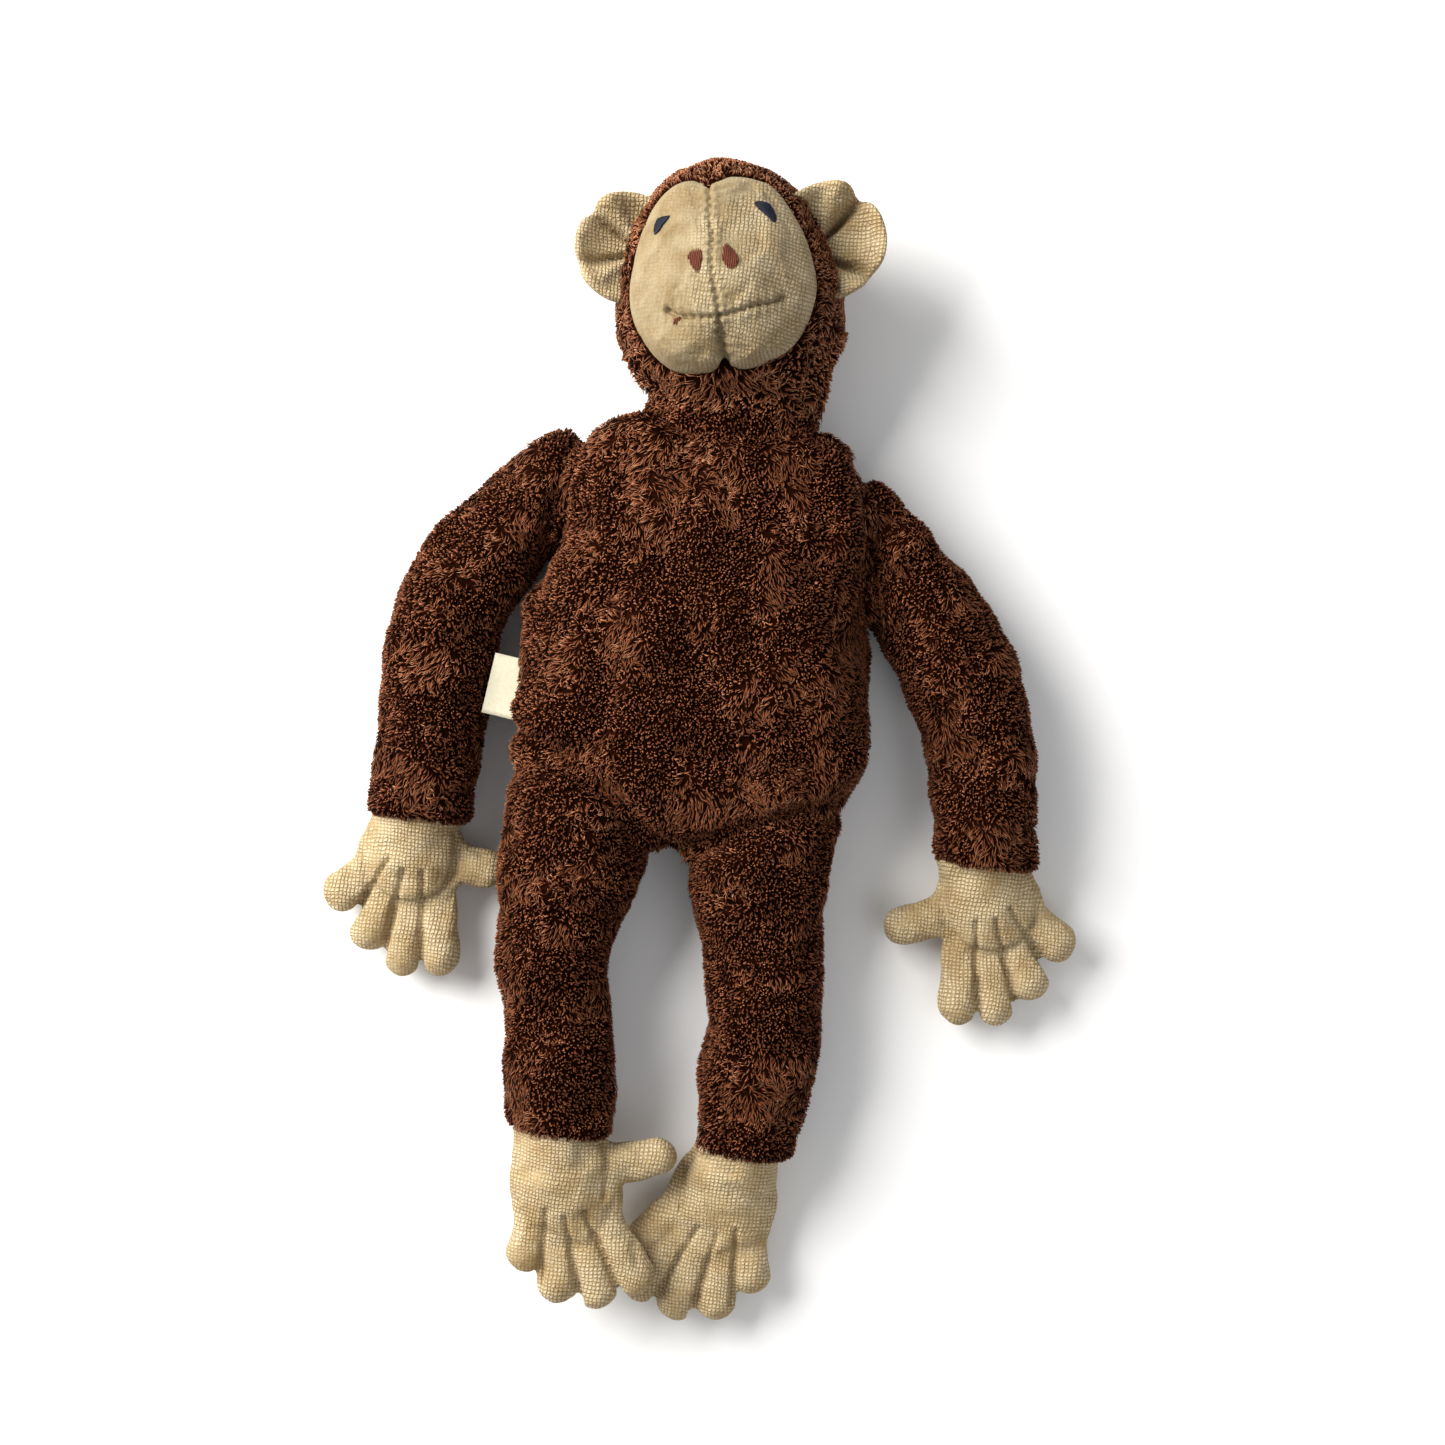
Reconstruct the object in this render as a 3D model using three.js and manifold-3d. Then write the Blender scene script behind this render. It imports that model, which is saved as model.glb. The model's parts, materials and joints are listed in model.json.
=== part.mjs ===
// Stuffed monkey lying on its back, arms beside the body and legs almost straight.
// Millimetres. +Z is up from the surface the toy lies on, +Y runs towards the head and +X towards
// the toy's own left hand. The origin is the middle of the toy's footprint, on that surface.
// Names ending in _r are on the toy's right side (-X), names ending in _l on its left side (+X).

import * as THREE from 'three';
import { mergeVertices } from 'three/addons/utils/BufferGeometryUtils.js';
import Module from 'manifold-3d';

// ---------------------------------------------------------------- driving dimensions
const GAP = 0.4; // clearance between neighbouring pieces
const CLOTH = 2; // thickness of a cover, backing and pile together
const JOINT_GAP = 0.6; // clearance in front of a domed limb end
const ROUND = 14; // sides of a round limb
const DOME_STEPS = 3; // rings in the domed end of a limb

const BODY_X = -9.3; // the torso's centre line, left and right arms reach differently far
const BODY_Z = 27; // height of the torso's side seam
const TORSO = [ // stations along the torso: place, half width, half thickness
  { at: -43, width: 8, depth: 5 },
  { at: -38, width: 30, depth: 14 },
  { at: -26, width: 52, depth: 23 },
  { at: -8, width: 62, depth: 28 },
  { at: 15, width: 64, depth: 29 },
  { at: 40, width: 60, depth: 29 },
  { at: 70, width: 55.5, depth: 27 },
  { at: 92, width: 53, depth: 22 },
  { at: 105, width: 50, depth: 16 },
  { at: 112.6, width: 40, depth: 8 },
];
const LABEL = { width: 10, height: 22, thick: 0.8, y: 11 };

const NECK = { x: -8.5, y: 113.6, z: 29, radius: 22 };
const THROAT = { top: 152, bottom: 117, width: 30, depth: 22 };
const HEAD = { x: -15, y: 165.2, tilt: 12 }; // the head leans 12 degrees to the toy's right
const SKULL = { at: [0, 0, 37], radii: [37, 43, 37] };
const CHEEKS = { at: [1, -14, 38], radii: [39.5, 30, 34] };
const MUZZLE = { at: [0, -8, 56], radii: [30, 27, 27] };
const FACE = { x: -1, y: 0.5, width: 34, height: 33.5, from: 42 }; // outline of the pale face
const EYE = { x: 19, y: 17, radii: [3.2, 4.6, 1.5] };
const NOSTRIL = { x: 6.5, y: 5, radii: [2.4, 4.2, 1.4] };
const STITCH = { x: -19, y: -17, radii: [2.6, 1, 1] };
const EAR = { top: [33, 30], bottom: [41, -4], z: 40, reach: 17, ply: 2.4, fromAxis: 0.5 };

const ARMS = {
  r: { shoulder: [-76, 81, 27], elbow: [-104, 33, 20], wrist: [-104, -46, 18.2] },
  l: { shoulder: [56.5, 76, 27], elbow: [87, 27, 20], wrist: [100.5, -41, 18.2] },
};
const ARM = { cap: 17, elbow: 18, wrist: 17.6 };
const LEGS = {
  r: { hip: [-42.5, -27, 25], knee: [-47.5, -91, 25], ankle: [-39, -152, 24], footZ: 24 },
  l: { hip: [22.5, -27, 25], knee: [27, -91, 21], ankle: [26.8, -154, 19], footZ: 11 },
};
const LEG = { hip: 23.5, knee: 19.5, ankle: 17.6 };

// Paws are drawn with the wrist or ankle at the origin and the digits along -Y.
// A digit is given by where it leaves the palm and where its tip ends, thumb side positive.
const HAND = {
  heights: { r: 12, l: 12 },
  turn: { r: 0, l: 12 },
  palm: { at: [0, -9, 0], radii: [18, 19, 9.5] },
  digitRadius: 6.3,
  digits: [
    { from: [10, -16], tip: [16.5, -45] },
    { from: [2, -18], tip: [2, -46.5] },
    { from: [-7, -16], tip: [-14.5, -38.7] },
    { from: [-12, -9], tip: [-25.5, -24] },
  ],
  thumb: { r: { from: [8, -8], tip: [29.5, -8.5] }, l: { from: [8, -8], tip: [33.5, -9] } },
};
const FOOT = {
  turn: { r: 12, l: -3 },
  palm: { at: [0, -13, 0], radii: [18.5, 23, 9] },
  swingRoom: 2, // extra space at the ankle, where the foot swings sideways
  digitRadius: 6.4,
  digits: [
    { from: [11, -25], tip: [20, -51] },
    { from: [3, -28], tip: [5.5, -54] },
    { from: [-6, -26], tip: [-9.5, -49] },
    { from: [-11, -20], tip: [-18.5, -36] },
  ],
  thumb: { r: { from: [8, -8], tip: [38.5, 0] }, l: { from: [8, -12], tip: [21.5, -29] } },
};

const BROWN = { color: 0x4a2819, roughness: 0.95, metalness: 0 };
const BEIGE = { color: 0xb79a6b, roughness: 0.9, metalness: 0 };
const FILLING = { color: 0xe9e6df, roughness: 1, metalness: 0 };
const NAVY = { color: 0x1d2333, roughness: 0.7, metalness: 0 };
const RUST = { color: 0x7a3a22, roughness: 0.7, metalness: 0 };
const CREAM = { color: 0xe8e0c8, roughness: 0.8, metalness: 0 };

// ---------------------------------------------------------------- solids
const wasm = await Module();
wasm.setup();

function toSolid(geometry) {
  const bare = geometry.clone();
  bare.deleteAttribute('normal');
  bare.deleteAttribute('uv');
  const merged = mergeVertices(bare, 1e-4);
  const index = merged.index.array;
  const faces = [];
  for (let i = 0; i < index.length; i += 3) {
    const [a, b, c] = index.slice(i, i + 3);
    if (a !== b && b !== c && c !== a) faces.push(a, b, c);
  }
  return new wasm.Manifold(new wasm.Mesh({
    numProp: 3,
    vertProperties: new Float32Array(merged.attributes.position.array),
    triVerts: new Uint32Array(faces),
  }));
}

function toGeometry(solid) {
  const mesh = solid.getMesh();
  const geometry = new THREE.BufferGeometry();
  geometry.setAttribute('position', new THREE.BufferAttribute(mesh.vertProperties, 3));
  geometry.setIndex(new THREE.BufferAttribute(mesh.triVerts, 1));
  geometry.computeVertexNormals();
  return geometry;
}

function unite(solids) {
  return solids.reduce((whole, solid) => whole.add(solid));
}

function ellipsoid(shape, inset = 0, around = 18, rings = 10) {
  const radii = shape.radii.map((radius) => radius - inset);
  const geometry = new THREE.SphereGeometry(1, around, rings);
  return toSolid(geometry.scale(...radii).translate(...shape.at));
}

// A closed loft of ellipses along +Y; inset shrinks it evenly, ends included.
function loft(stations, inset = 0, around = 18) {
  const last = stations.length - 1;
  const rings = stations.map((station, i) => ({
    at: station.at + (i === 0 ? inset : 0) - (i === last ? inset : 0),
    width: station.width - inset,
    depth: station.depth - inset,
    x: station.x ?? 0,
  }));
  const points = rings.map((ring) => new THREE.Vector2(1, ring.at));
  points.unshift(new THREE.Vector2(0, rings[0].at));
  points.push(new THREE.Vector2(0, rings[last].at));
  const geometry = new THREE.LatheGeometry(points, around);
  const place = geometry.attributes.position;
  for (let i = 0; i < place.count; i++) {
    const ring = rings[THREE.MathUtils.clamp((i % points.length) - 1, 0, last)];
    place.setX(i, place.getX(i) * ring.width + ring.x);
    place.setZ(i, place.getZ(i) * ring.depth);
  }
  return toSolid(geometry);
}

// Everything on one side of a plane square to an axis.
function halfSpace(axis, from, direction) {
  const size = 1000;
  const at = new THREE.Vector3();
  at[axis] = from + (direction * size) / 2;
  return toSolid(new THREE.BoxGeometry(size, size, size).translate(at.x, at.y, at.z));
}

function ball(at, radius) {
  return ellipsoid({ at, radii: [radius, radius, radius] });
}

// ---------------------------------------------------------------- scene helpers
function piece(parent, name, geometry, look) {
  const mesh = new THREE.Mesh(geometry, new THREE.MeshStandardMaterial(look));
  mesh.name = name;
  parent.add(mesh);
  return mesh;
}

function groupAt(parent, at, turnDegrees = 0) {
  const group = new THREE.Group();
  group.position.set(...at);
  group.rotation.z = THREE.MathUtils.degToRad(turnDegrees);
  parent.add(group);
  return group;
}

// ---------------------------------------------------------------- torso
function hipRoom(leg) {
  // the ball of the thigh, the thigh itself, and the slot in which it swings up
  const [x, y, z] = leg.hip;
  const radius = LEG.hip + JOINT_GAP;
  const reach = 60;
  const slot = new THREE.BoxGeometry(2 * radius, 2 * radius, reach).translate(x, y, z + reach / 2);
  const thigh = new THREE.CylinderGeometry(radius, radius, reach, 24).translate(x, y - reach / 2, z);
  return unite([ball([x, y, z], radius), toSolid(slot), toSolid(thigh)]);
}

function makeTorso(toy) {
  const torso = groupAt(toy, [BODY_X, 0, BODY_Z]);
  const move = [-BODY_X, 0, -BODY_Z];
  const room = unite([
    ...Object.values(LEGS).map(hipRoom),
    ...Object.values(ARMS).map((arm) => ball(arm.shoulder, ARM.cap + JOINT_GAP)),
  ]).translate(move);
  const floor = (height) => halfSpace('z', height - BODY_Z, 1);
  const outer = loft(TORSO).intersect(floor(0));
  const inner = loft(TORSO, CLOTH).intersect(floor(CLOTH));
  const cover = outer.subtract(inner).subtract(room);
  const front = cover.intersect(halfSpace('z', GAP / 2, 1));
  const back = cover.intersect(halfSpace('z', -GAP / 2, -1));
  const filling = loft(TORSO, CLOTH + GAP).intersect(floor(CLOTH + GAP)).subtract(room);
  piece(torso, 'torso_front_panel', toGeometry(front), BROWN);
  piece(torso, 'torso_back_panel', toGeometry(back), BROWN);
  piece(torso, 'torso_stuffing', toGeometry(filling), FILLING);

  const edge = TORSO.reduce((most, station) => Math.max(most, station.width), 0);
  const label = piece(
    torso,
    'side_label',
    new THREE.BoxGeometry(LABEL.width, LABEL.height, LABEL.thick),
    CREAM,
  );
  label.position.set(-edge - GAP - LABEL.width / 2, LABEL.y, 0);
}

// ---------------------------------------------------------------- head
function makeNeck(toy) {
  const neck = groupAt(toy, [NECK.x, NECK.y, NECK.z]);
  const dome = new THREE.SphereGeometry(NECK.radius, 18, 10);
  const half = toSolid(dome).intersect(halfSpace('y', 0, 1));
  piece(neck, 'neck', toGeometry(half), BROWN);
}

function throat(inset, tilt) {
  const stations = [THROAT.bottom, THROAT.top].map((at) => ({
    at: at - HEAD.y,
    width: THROAT.width,
    depth: THROAT.depth,
    x: NECK.x - HEAD.x,
  }));
  return loft(stations, inset).translate([0, 0, NECK.z]).rotate([0, 0, -tilt]);
}

function headForm(inset) {
  const forms = [SKULL, CHEEKS, MUZZLE].map((form) => ellipsoid(form, inset));
  const floor = halfSpace('z', inset, 1);
  return unite([...forms, throat(inset, HEAD.tilt)]).intersect(floor);
}

function faceOutline(extra) {
  const height = 100;
  const outline = new THREE.CylinderGeometry(1, 1, height, 24).rotateX(Math.PI / 2);
  outline.scale(FACE.width + extra, FACE.height + extra, 1);
  return toSolid(outline.translate(FACE.x, FACE.y, FACE.from - extra + height / 2));
}

// Height of the face's outer surface above one point of the head.
function faceHeight(x, y) {
  const heights = [SKULL, CHEEKS, MUZZLE].map(({ at, radii }) => {
    const left = 1 - ((x - at[0]) / radii[0]) ** 2 - ((y - at[1]) / radii[1]) ** 2;
    return left > 0 ? at[2] + radii[2] * Math.sqrt(left) : 0;
  });
  return Math.max(...heights);
}

function feature(shape, x, y, extra = 0) {
  return ellipsoid({ at: [x, y, faceHeight(x, y)], radii: shape.radii }, -extra, 10, 6);
}

function makeHead(toy) {
  const head = groupAt(toy, [HEAD.x, HEAD.y, 0], HEAD.tilt);
  head.updateMatrixWorld(true);
  const pivot = head.worldToLocal(new THREE.Vector3(NECK.x, NECK.y, NECK.z));
  const socket = ball(pivot.toArray(), NECK.radius + JOINT_GAP);
  const features = {
    eye_r: [EYE, -EYE.x, EYE.y, NAVY],
    eye_l: [EYE, EYE.x, EYE.y, NAVY],
    nostril_r: [NOSTRIL, -NOSTRIL.x, NOSTRIL.y, RUST],
    nostril_l: [NOSTRIL, NOSTRIL.x, NOSTRIL.y, RUST],
    mouth_stitch: [STITCH, STITCH.x, STITCH.y, RUST],
  };
  const recesses = unite(Object.values(features).map(([shape, x, y]) => feature(shape, x, y, GAP)));
  const shell = headForm(0).subtract(headForm(CLOTH)).subtract(socket);
  const face = shell.intersect(faceOutline(0)).subtract(recesses);
  const hood = shell.subtract(faceOutline(GAP));
  for (const [side, direction] of [['r', -1], ['l', 1]]) {
    const half = halfSpace('x', (direction * GAP) / 2, direction);
    piece(head, `hood_${side}`, toGeometry(hood.intersect(half)), BROWN);
    piece(head, `face_panel_${side}`, toGeometry(face.intersect(half)), BEIGE);
  }
  const filling = headForm(CLOTH + GAP).subtract(socket).subtract(recesses);
  piece(head, 'head_stuffing', toGeometry(filling), FILLING);
  for (const [name, [shape, x, y, look]] of Object.entries(features)) {
    piece(head, name, toGeometry(feature(shape, x, y)), look);
  }
  makeEar(head, 'r', -1);
  makeEar(head, 'l', 1);
}

// An ear is two plies of cloth, joined to the head along a straight edge that it folds about.
function makeEar(head, side, direction) {
  const top = new THREE.Vector2(...EAR.top);
  const bottom = new THREE.Vector2(...EAR.bottom);
  const lean = Math.atan2(bottom.x - top.x, top.y - bottom.y);
  const middle = top.clone().add(bottom).multiplyScalar(0.5);
  const ear = groupAt(head, [direction * middle.x, middle.y, EAR.z]);
  ear.rotation.z = direction * lean;
  const outline = new THREE.Shape();
  const halfEdge = top.distanceTo(bottom) / 2;
  outline.absellipse(EAR.fromAxis, 0, EAR.reach, halfEdge, -Math.PI / 2, Math.PI / 2, false);
  outline.closePath();
  const ply = new THREE.ExtrudeGeometry(outline, {
    depth: EAR.ply,
    bevelEnabled: false,
    curveSegments: 10,
  });
  if (direction < 0) ply.rotateY(Math.PI).translate(0, 0, EAR.ply);
  piece(ear, `ear_front_${side}`, ply, BEIGE).position.z = GAP / 2;
  piece(ear, `ear_back_${side}`, ply.clone(), BEIGE).position.z = -GAP / 2 - EAR.ply;
}

// ---------------------------------------------------------------- limbs
// Half outline of a limb segment that starts in a dome centred on its own joint.
function limbOutline(startRadius, endRadius, length, inset) {
  const radius = startRadius - inset;
  const points = [new THREE.Vector2(0, -radius)];
  for (let i = 1; i <= DOME_STEPS; i++) {
    const angle = (Math.PI / 2) * (i / DOME_STEPS);
    points.push(new THREE.Vector2(radius * Math.sin(angle), -radius * Math.cos(angle)));
  }
  points.push(new THREE.Vector2(endRadius - inset, length));
  return points;
}

// A fabric sleeve that is open at its far end, and the stuffing inside it.
function makeLimb(toy, name, from, to, startRadius, endRadius, room) {
  const start = new THREE.Vector3(...from);
  const along = new THREE.Vector3(...to).sub(start);
  const length = along.length() - room;
  const limb = groupAt(toy, from);
  limb.quaternion.setFromUnitVectors(new THREE.Vector3(0, 1, 0), along.normalize());
  const outside = limbOutline(startRadius, endRadius, length, 0);
  const inside = limbOutline(startRadius, endRadius, length, CLOTH);
  const core = limbOutline(startRadius, endRadius, length, CLOTH + GAP);
  core.push(new THREE.Vector2(0, length));
  const sleeve = new THREE.LatheGeometry([...outside, ...inside.reverse()], ROUND);
  piece(limb, `${name}_cover`, toGeometry(toSolid(sleeve)), BROWN);
  piece(limb, `${name}_stuffing`, toGeometry(toSolid(new THREE.LatheGeometry(core, ROUND))), FILLING);
}

// The upper arm starts flat, in front of the round cap that is sewn to the torso.
function makeUpperArm(toy, side, arm) {
  const start = new THREE.Vector3(...arm.shoulder);
  const along = new THREE.Vector3(...arm.elbow).sub(start);
  const begin = ARM.cap + JOINT_GAP;
  const end = along.length() - ARM.elbow - JOINT_GAP;
  const limb = groupAt(toy, arm.shoulder);
  limb.quaternion.setFromUnitVectors(new THREE.Vector3(0, 1, 0), along.normalize());
  const tube = (outer, inner) => [[inner, begin], [outer, begin], [outer, end], [inner, end], [inner, begin]]
    .map(([radius, place]) => new THREE.Vector2(radius, place));
  const sleeve = new THREE.LatheGeometry(tube(ARM.elbow, ARM.elbow - CLOTH), ROUND);
  const core = new THREE.LatheGeometry(tube(ARM.elbow - CLOTH - GAP, 0), ROUND);
  piece(limb, `upper_arm_${side}_cover`, toGeometry(toSolid(sleeve)), BROWN);
  piece(limb, `upper_arm_${side}_stuffing`, toGeometry(toSolid(core)), FILLING);
}

// ---------------------------------------------------------------- hands and feet
function digitSolid(digit, radius) {
  const from = new THREE.Vector2(...digit.from);
  const along = new THREE.Vector2(...digit.tip).sub(from);
  const length = along.length() - radius;
  const angle = along.angle() - Math.PI / 2;
  const capsule = new THREE.CapsuleGeometry(radius, length, 2, 6);
  capsule.translate(0, length / 2, 0).rotateZ(angle);
  return toSolid(capsule.translate(from.x, from.y, 0));
}

function makePaw(toy, names, shape, at, turn, thumb, thumbSide) {
  const paw = groupAt(toy, at, turn);
  const mirror = thumbSide > 0 ? [1, 1, 1] : [-1, 1, 1];
  const digits = [...shape.digits, thumb].map((digit) => digitSolid(digit, shape.digitRadius));
  const palm = ellipsoid(shape.palm, 0, 14, 8);
  const hollow = ellipsoid(shape.palm, CLOTH, 12, 6);
  const cover = unite([palm, ...digits]).subtract(hollow);
  const [upper, lower, filling] = names;
  const half = (direction) => cover.intersect(halfSpace('z', (direction * GAP) / 2, direction));
  piece(paw, upper, toGeometry(half(1).scale(mirror)), BEIGE);
  piece(paw, lower, toGeometry(half(-1).scale(mirror)), BEIGE);
  const core = ellipsoid(shape.palm, CLOTH + GAP, 12, 6);
  piece(paw, filling, toGeometry(core.scale(mirror)), FILLING);
}

function makeArm(toy, side, thumbSide) {
  const arm = ARMS[side];
  const cap = new THREE.SphereGeometry(ARM.cap, ROUND, 8);
  const shoulder = groupAt(toy, arm.shoulder);
  piece(shoulder, `shoulder_cap_${side}`, toGeometry(toSolid(cap)), BROWN);
  makeUpperArm(toy, side, arm);
  const wristRoom = HAND.palm.radii[1] + HAND.palm.at[1] + JOINT_GAP;
  makeLimb(toy, `forearm_${side}`, arm.elbow, arm.wrist, ARM.elbow, ARM.wrist, wristRoom);
  const names = [`palm_${side}`, `hand_back_${side}`, `hand_stuffing_${side}`];
  const [x, y] = arm.wrist;
  const at = [x, y, HAND.heights[side]];
  makePaw(toy, names, HAND, at, HAND.turn[side], HAND.thumb[side], thumbSide);
}

function makeLeg(toy, side, thumbSide) {
  const leg = LEGS[side];
  makeLimb(toy, `thigh_${side}`, leg.hip, leg.knee, LEG.hip, LEG.knee, LEG.knee + JOINT_GAP);
  const ankleRoom = FOOT.palm.radii[1] + FOOT.palm.at[1] + JOINT_GAP + FOOT.swingRoom;
  makeLimb(toy, `shin_${side}`, leg.knee, leg.ankle, LEG.knee, LEG.ankle, ankleRoom);
  const names = [`sole_${side}`, `foot_top_${side}`, `foot_stuffing_${side}`];
  const [x, y] = leg.ankle;
  makePaw(toy, names, FOOT, [x, y, leg.footZ], FOOT.turn[side], FOOT.thumb[side], thumbSide);
}

// ---------------------------------------------------------------- assembly
const monkey = new THREE.Group();
makeTorso(monkey);
makeNeck(monkey);
makeHead(monkey);
makeArm(monkey, 'r', 1);
makeArm(monkey, 'l', -1);
makeLeg(monkey, 'r', 1);
makeLeg(monkey, 'l', -1);

export default monkey;
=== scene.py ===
"""Stuffed monkey on its back: sewn skins, pile, velour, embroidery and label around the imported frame.

Shapes are worked out in millimetres, in the frame's axes: X towards the toy's own left hand, Y towards
the head, Z up from the floor. They become metres when a mesh is made.
"""

import json
import math

import bpy
import numpy as np
import openvdb
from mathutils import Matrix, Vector
from mathutils.bvhtree import BVHTree
from mathutils.kdtree import KDTree


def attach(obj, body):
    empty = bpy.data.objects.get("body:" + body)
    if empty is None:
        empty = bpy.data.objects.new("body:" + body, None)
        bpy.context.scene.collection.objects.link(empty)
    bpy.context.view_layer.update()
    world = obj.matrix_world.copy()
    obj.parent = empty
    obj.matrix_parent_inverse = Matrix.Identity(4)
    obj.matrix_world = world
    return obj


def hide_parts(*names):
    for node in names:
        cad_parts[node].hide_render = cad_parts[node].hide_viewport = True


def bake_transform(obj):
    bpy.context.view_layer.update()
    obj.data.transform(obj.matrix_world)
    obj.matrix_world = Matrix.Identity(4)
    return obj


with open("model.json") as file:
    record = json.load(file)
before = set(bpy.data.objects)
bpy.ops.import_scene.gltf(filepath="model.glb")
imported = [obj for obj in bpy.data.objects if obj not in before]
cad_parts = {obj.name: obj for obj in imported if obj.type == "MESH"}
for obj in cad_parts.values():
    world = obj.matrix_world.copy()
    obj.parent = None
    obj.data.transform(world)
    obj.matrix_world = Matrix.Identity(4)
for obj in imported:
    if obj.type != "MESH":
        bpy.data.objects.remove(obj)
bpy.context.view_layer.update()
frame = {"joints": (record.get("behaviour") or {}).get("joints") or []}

MM = 0.001
SEED = 7
PIVOTS = {joint["name"]: np.array(joint["pos_m"]) / MM for joint in frame["joints"]}

# ---------------------------------------------------------------- the toy's measures, in millimetres
PILE_DEPTH = 1.3  # how far the fur stands beyond its skin, taken off every furry form

SIDES = ("r", "l")
DOWN = np.array([0.0, -1.0, 0.0])  # from the head towards the feet

# rows along Y: place, centre X, centre Z, half width, half thickness
TORSO = [
    (-43, -9.3, 27, 9, 6), (-38, -9.3, 27, 30, 14), (-26, -9, 27, 52.5, 23), (-8, -8.8, 27, 62.6, 28),
    (15, -9, 27, 65, 29), (40, -9.3, 27, 60.5, 29), (70, -9.3, 27, 56, 27), (92, -9.3, 27, 53, 22),
    (105, -9.6, 27, 46.6, 20), (112.6, -7.5, 27, 34, 12),
]
NECK = [(103, -8, 28, 29, 17), (112, -8, 28, 31, 18.5), (121, -8, 29, 31.6, 21)]
THROAT = [
    (115, -8, 28, 31, 18.5), (122, -8, 29, 32, 21.5), (131, -9.4, 31, 34.4, 25),
    (140, -12, 33, 37, 29), (150, -13, 35, 38.5, 32), (160, -15, 37, 36, 33),
]

HEAD_ORIGIN = (-15, 165.2, 0)
HEAD_TILT = 12
SKULL = ((0, -0.5, 37), (37, 41.8, 37))
CHEEKS = ((0.3, -14, 38), (38.8, 30, 34))
MUZZLE = ((-2.5, -9, 55), (30.5, 27, 28))
CHIN_LOBES = [((-13, -24, 59), (15, 13, 18)), ((5, -24, 59), (16, 13, 18))]
FACE_BASE = 44
FACE_OUTLINE = [
    (-3.8, 27.6), (-7, 30.5), (-12, 31.3), (-17.5, 29.8), (-22.5, 25.8), (-27, 18.4), (-31, 10.8),
    (-34, 1.5), (-35.4, -7.2), (-35, -15.1), (-32.1, -23.3), (-27.9, -29.4), (-22.6, -33.5),
    (-15.7, -36), (-9.6, -36.6), (-4.6, -34.8), (0.6, -36.4), (5.4, -36.5), (11.6, -34.7),
    (18.1, -31.7), (23.8, -26.5), (27.9, -20.3), (30.5, -11.8), (30, -2.9), (28.1, 6.9),
    (24.8, 16), (20.7, 23.5), (15.9, 27.9), (9.1, 30.5), (2, 30.3),
]
FACE_SEAM = [(-3.8, 30), (-4.2, 18.7), (-4.9, 13.6), (-4.3, 7.6), (-5.7, -0.8), (-5.7, -7.6), (-5, -14.5),
             (-5, -21.4), (-4.5, -29.9), (-3.9, -35.1), (-4.6, -40)]
MOUTH = [(-22.6, -16.4), (-18.1, -19.2), (-11.4, -20.4), (-5.9, -20.7), (0.6, -19.9), (8.4, -18.1),
         (13.6, -17.3), (17.6, -15.9)]
EYES = {
    "r": [(-23.8, 11.7), (-24.2, 14.3), (-23.1, 16.8), (-21.1, 18.1), (-18.2, 17.7), (-20.2, 16),
          (-21.3, 14.2)],
    "l": [(11, 18.6), (13.2, 19.2), (15.8, 18.2), (17.5, 15.9), (18.1, 13.2), (17.3, 11.1), (15.3, 13),
          (13.4, 15.2)],
}
NOSTRILS = {
    "r": [(-13.3, 1.4), (-12, 2.7), (-9.2, 2.5), (-8.9, -0.4), (-10, -5.2), (-11.5, -5.2), (-13, -1.7)],
    "l": [(-1.5, 1.2), (-0.9, 3.3), (0.4, 3.6), (2.6, 0.4), (3.3, -2.4), (2.4, -5), (0.4, -5.8),
          (-1.4, -3.8), (-1.9, -1.1)],
}
MOUTH_STITCHES = [
    ((-20.6, -21.2), (-19.2, -19)), ((-19.6, -21.6), (-19, -18.8)),
    ((-20.4, -19.6), (-17.4, -19.2)), ((-18.6, -20.6), (-18.2, -18.6)),
]
# each ear: where its root meets the hood, which way it points (degrees), and its reach, half height and folds
EARS = {
    "r": {"root": (-34.5, 12.5), "points": 167, "reach": 18.6, "half": 19.5, "cup": 7,
          "folds": [(30, 5), (-20, 4)]},
    "l": {"root": (36.5, 7.5), "points": 9, "reach": 20.5, "half": 20.5, "cup": 13,
          "folds": [(32, 7), (-42, 6.5)]},
}
EAR_HEIGHT = 40

# limb centre lines: X, Y, Z, radius
ARMS = {
    "r": [(-50, 92, 21, 16.5), (-63, 89, 20, 18.4), (-76.5, 76.5, 19.8, 18.8), (-90.5, 58, 20, 19.6),
          (-101, 38, 20.5, 19.8), (-103.3, 18, 20, 19.8), (-103.7, -10, 19.4, 19.6), (-104, -38, 18.8, 19.2)],
    "l": [(22, 92, 21, 16.5), (38, 86, 20, 18.6), (52, 71, 19.8, 19.2), (68, 56.5, 20.4, 20.4),
          (81.5, 40, 21, 20.6), (91.5, 20, 20.4, 20), (96.8, 0, 20, 19.8), (101.4, -32, 19.2, 19.2)],
}
CUFFS = {"r": -37.5, "l": -31.5}
LEGS = {
    "r": [(-42, -2, 26, 24.5), (-43.5, -18, 26, 27.5), (-45.5, -42, 26, 26.8), (-49, -60, 25, 23.2),
          (-49.9, -80, 25, 21), (-46.8, -100, 24.5, 19.9), (-43.4, -120, 24.3, 19.9),
          (-40.2, -145, 24, 19.5)],
    "l": [(20, -2, 26, 25), (20.5, -20, 26, 27), (20, -42, 25, 25.6), (22.4, -60, 23.5, 22.2),
          (26, -80, 22, 21.2), (28.8, -100, 21, 21.4), (27.4, -120, 20, 19.8), (26, -145, 19.6, 18.6)],
}
ANKLE_CUFFS = {"r": -143.5, "l": -144.5}

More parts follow.
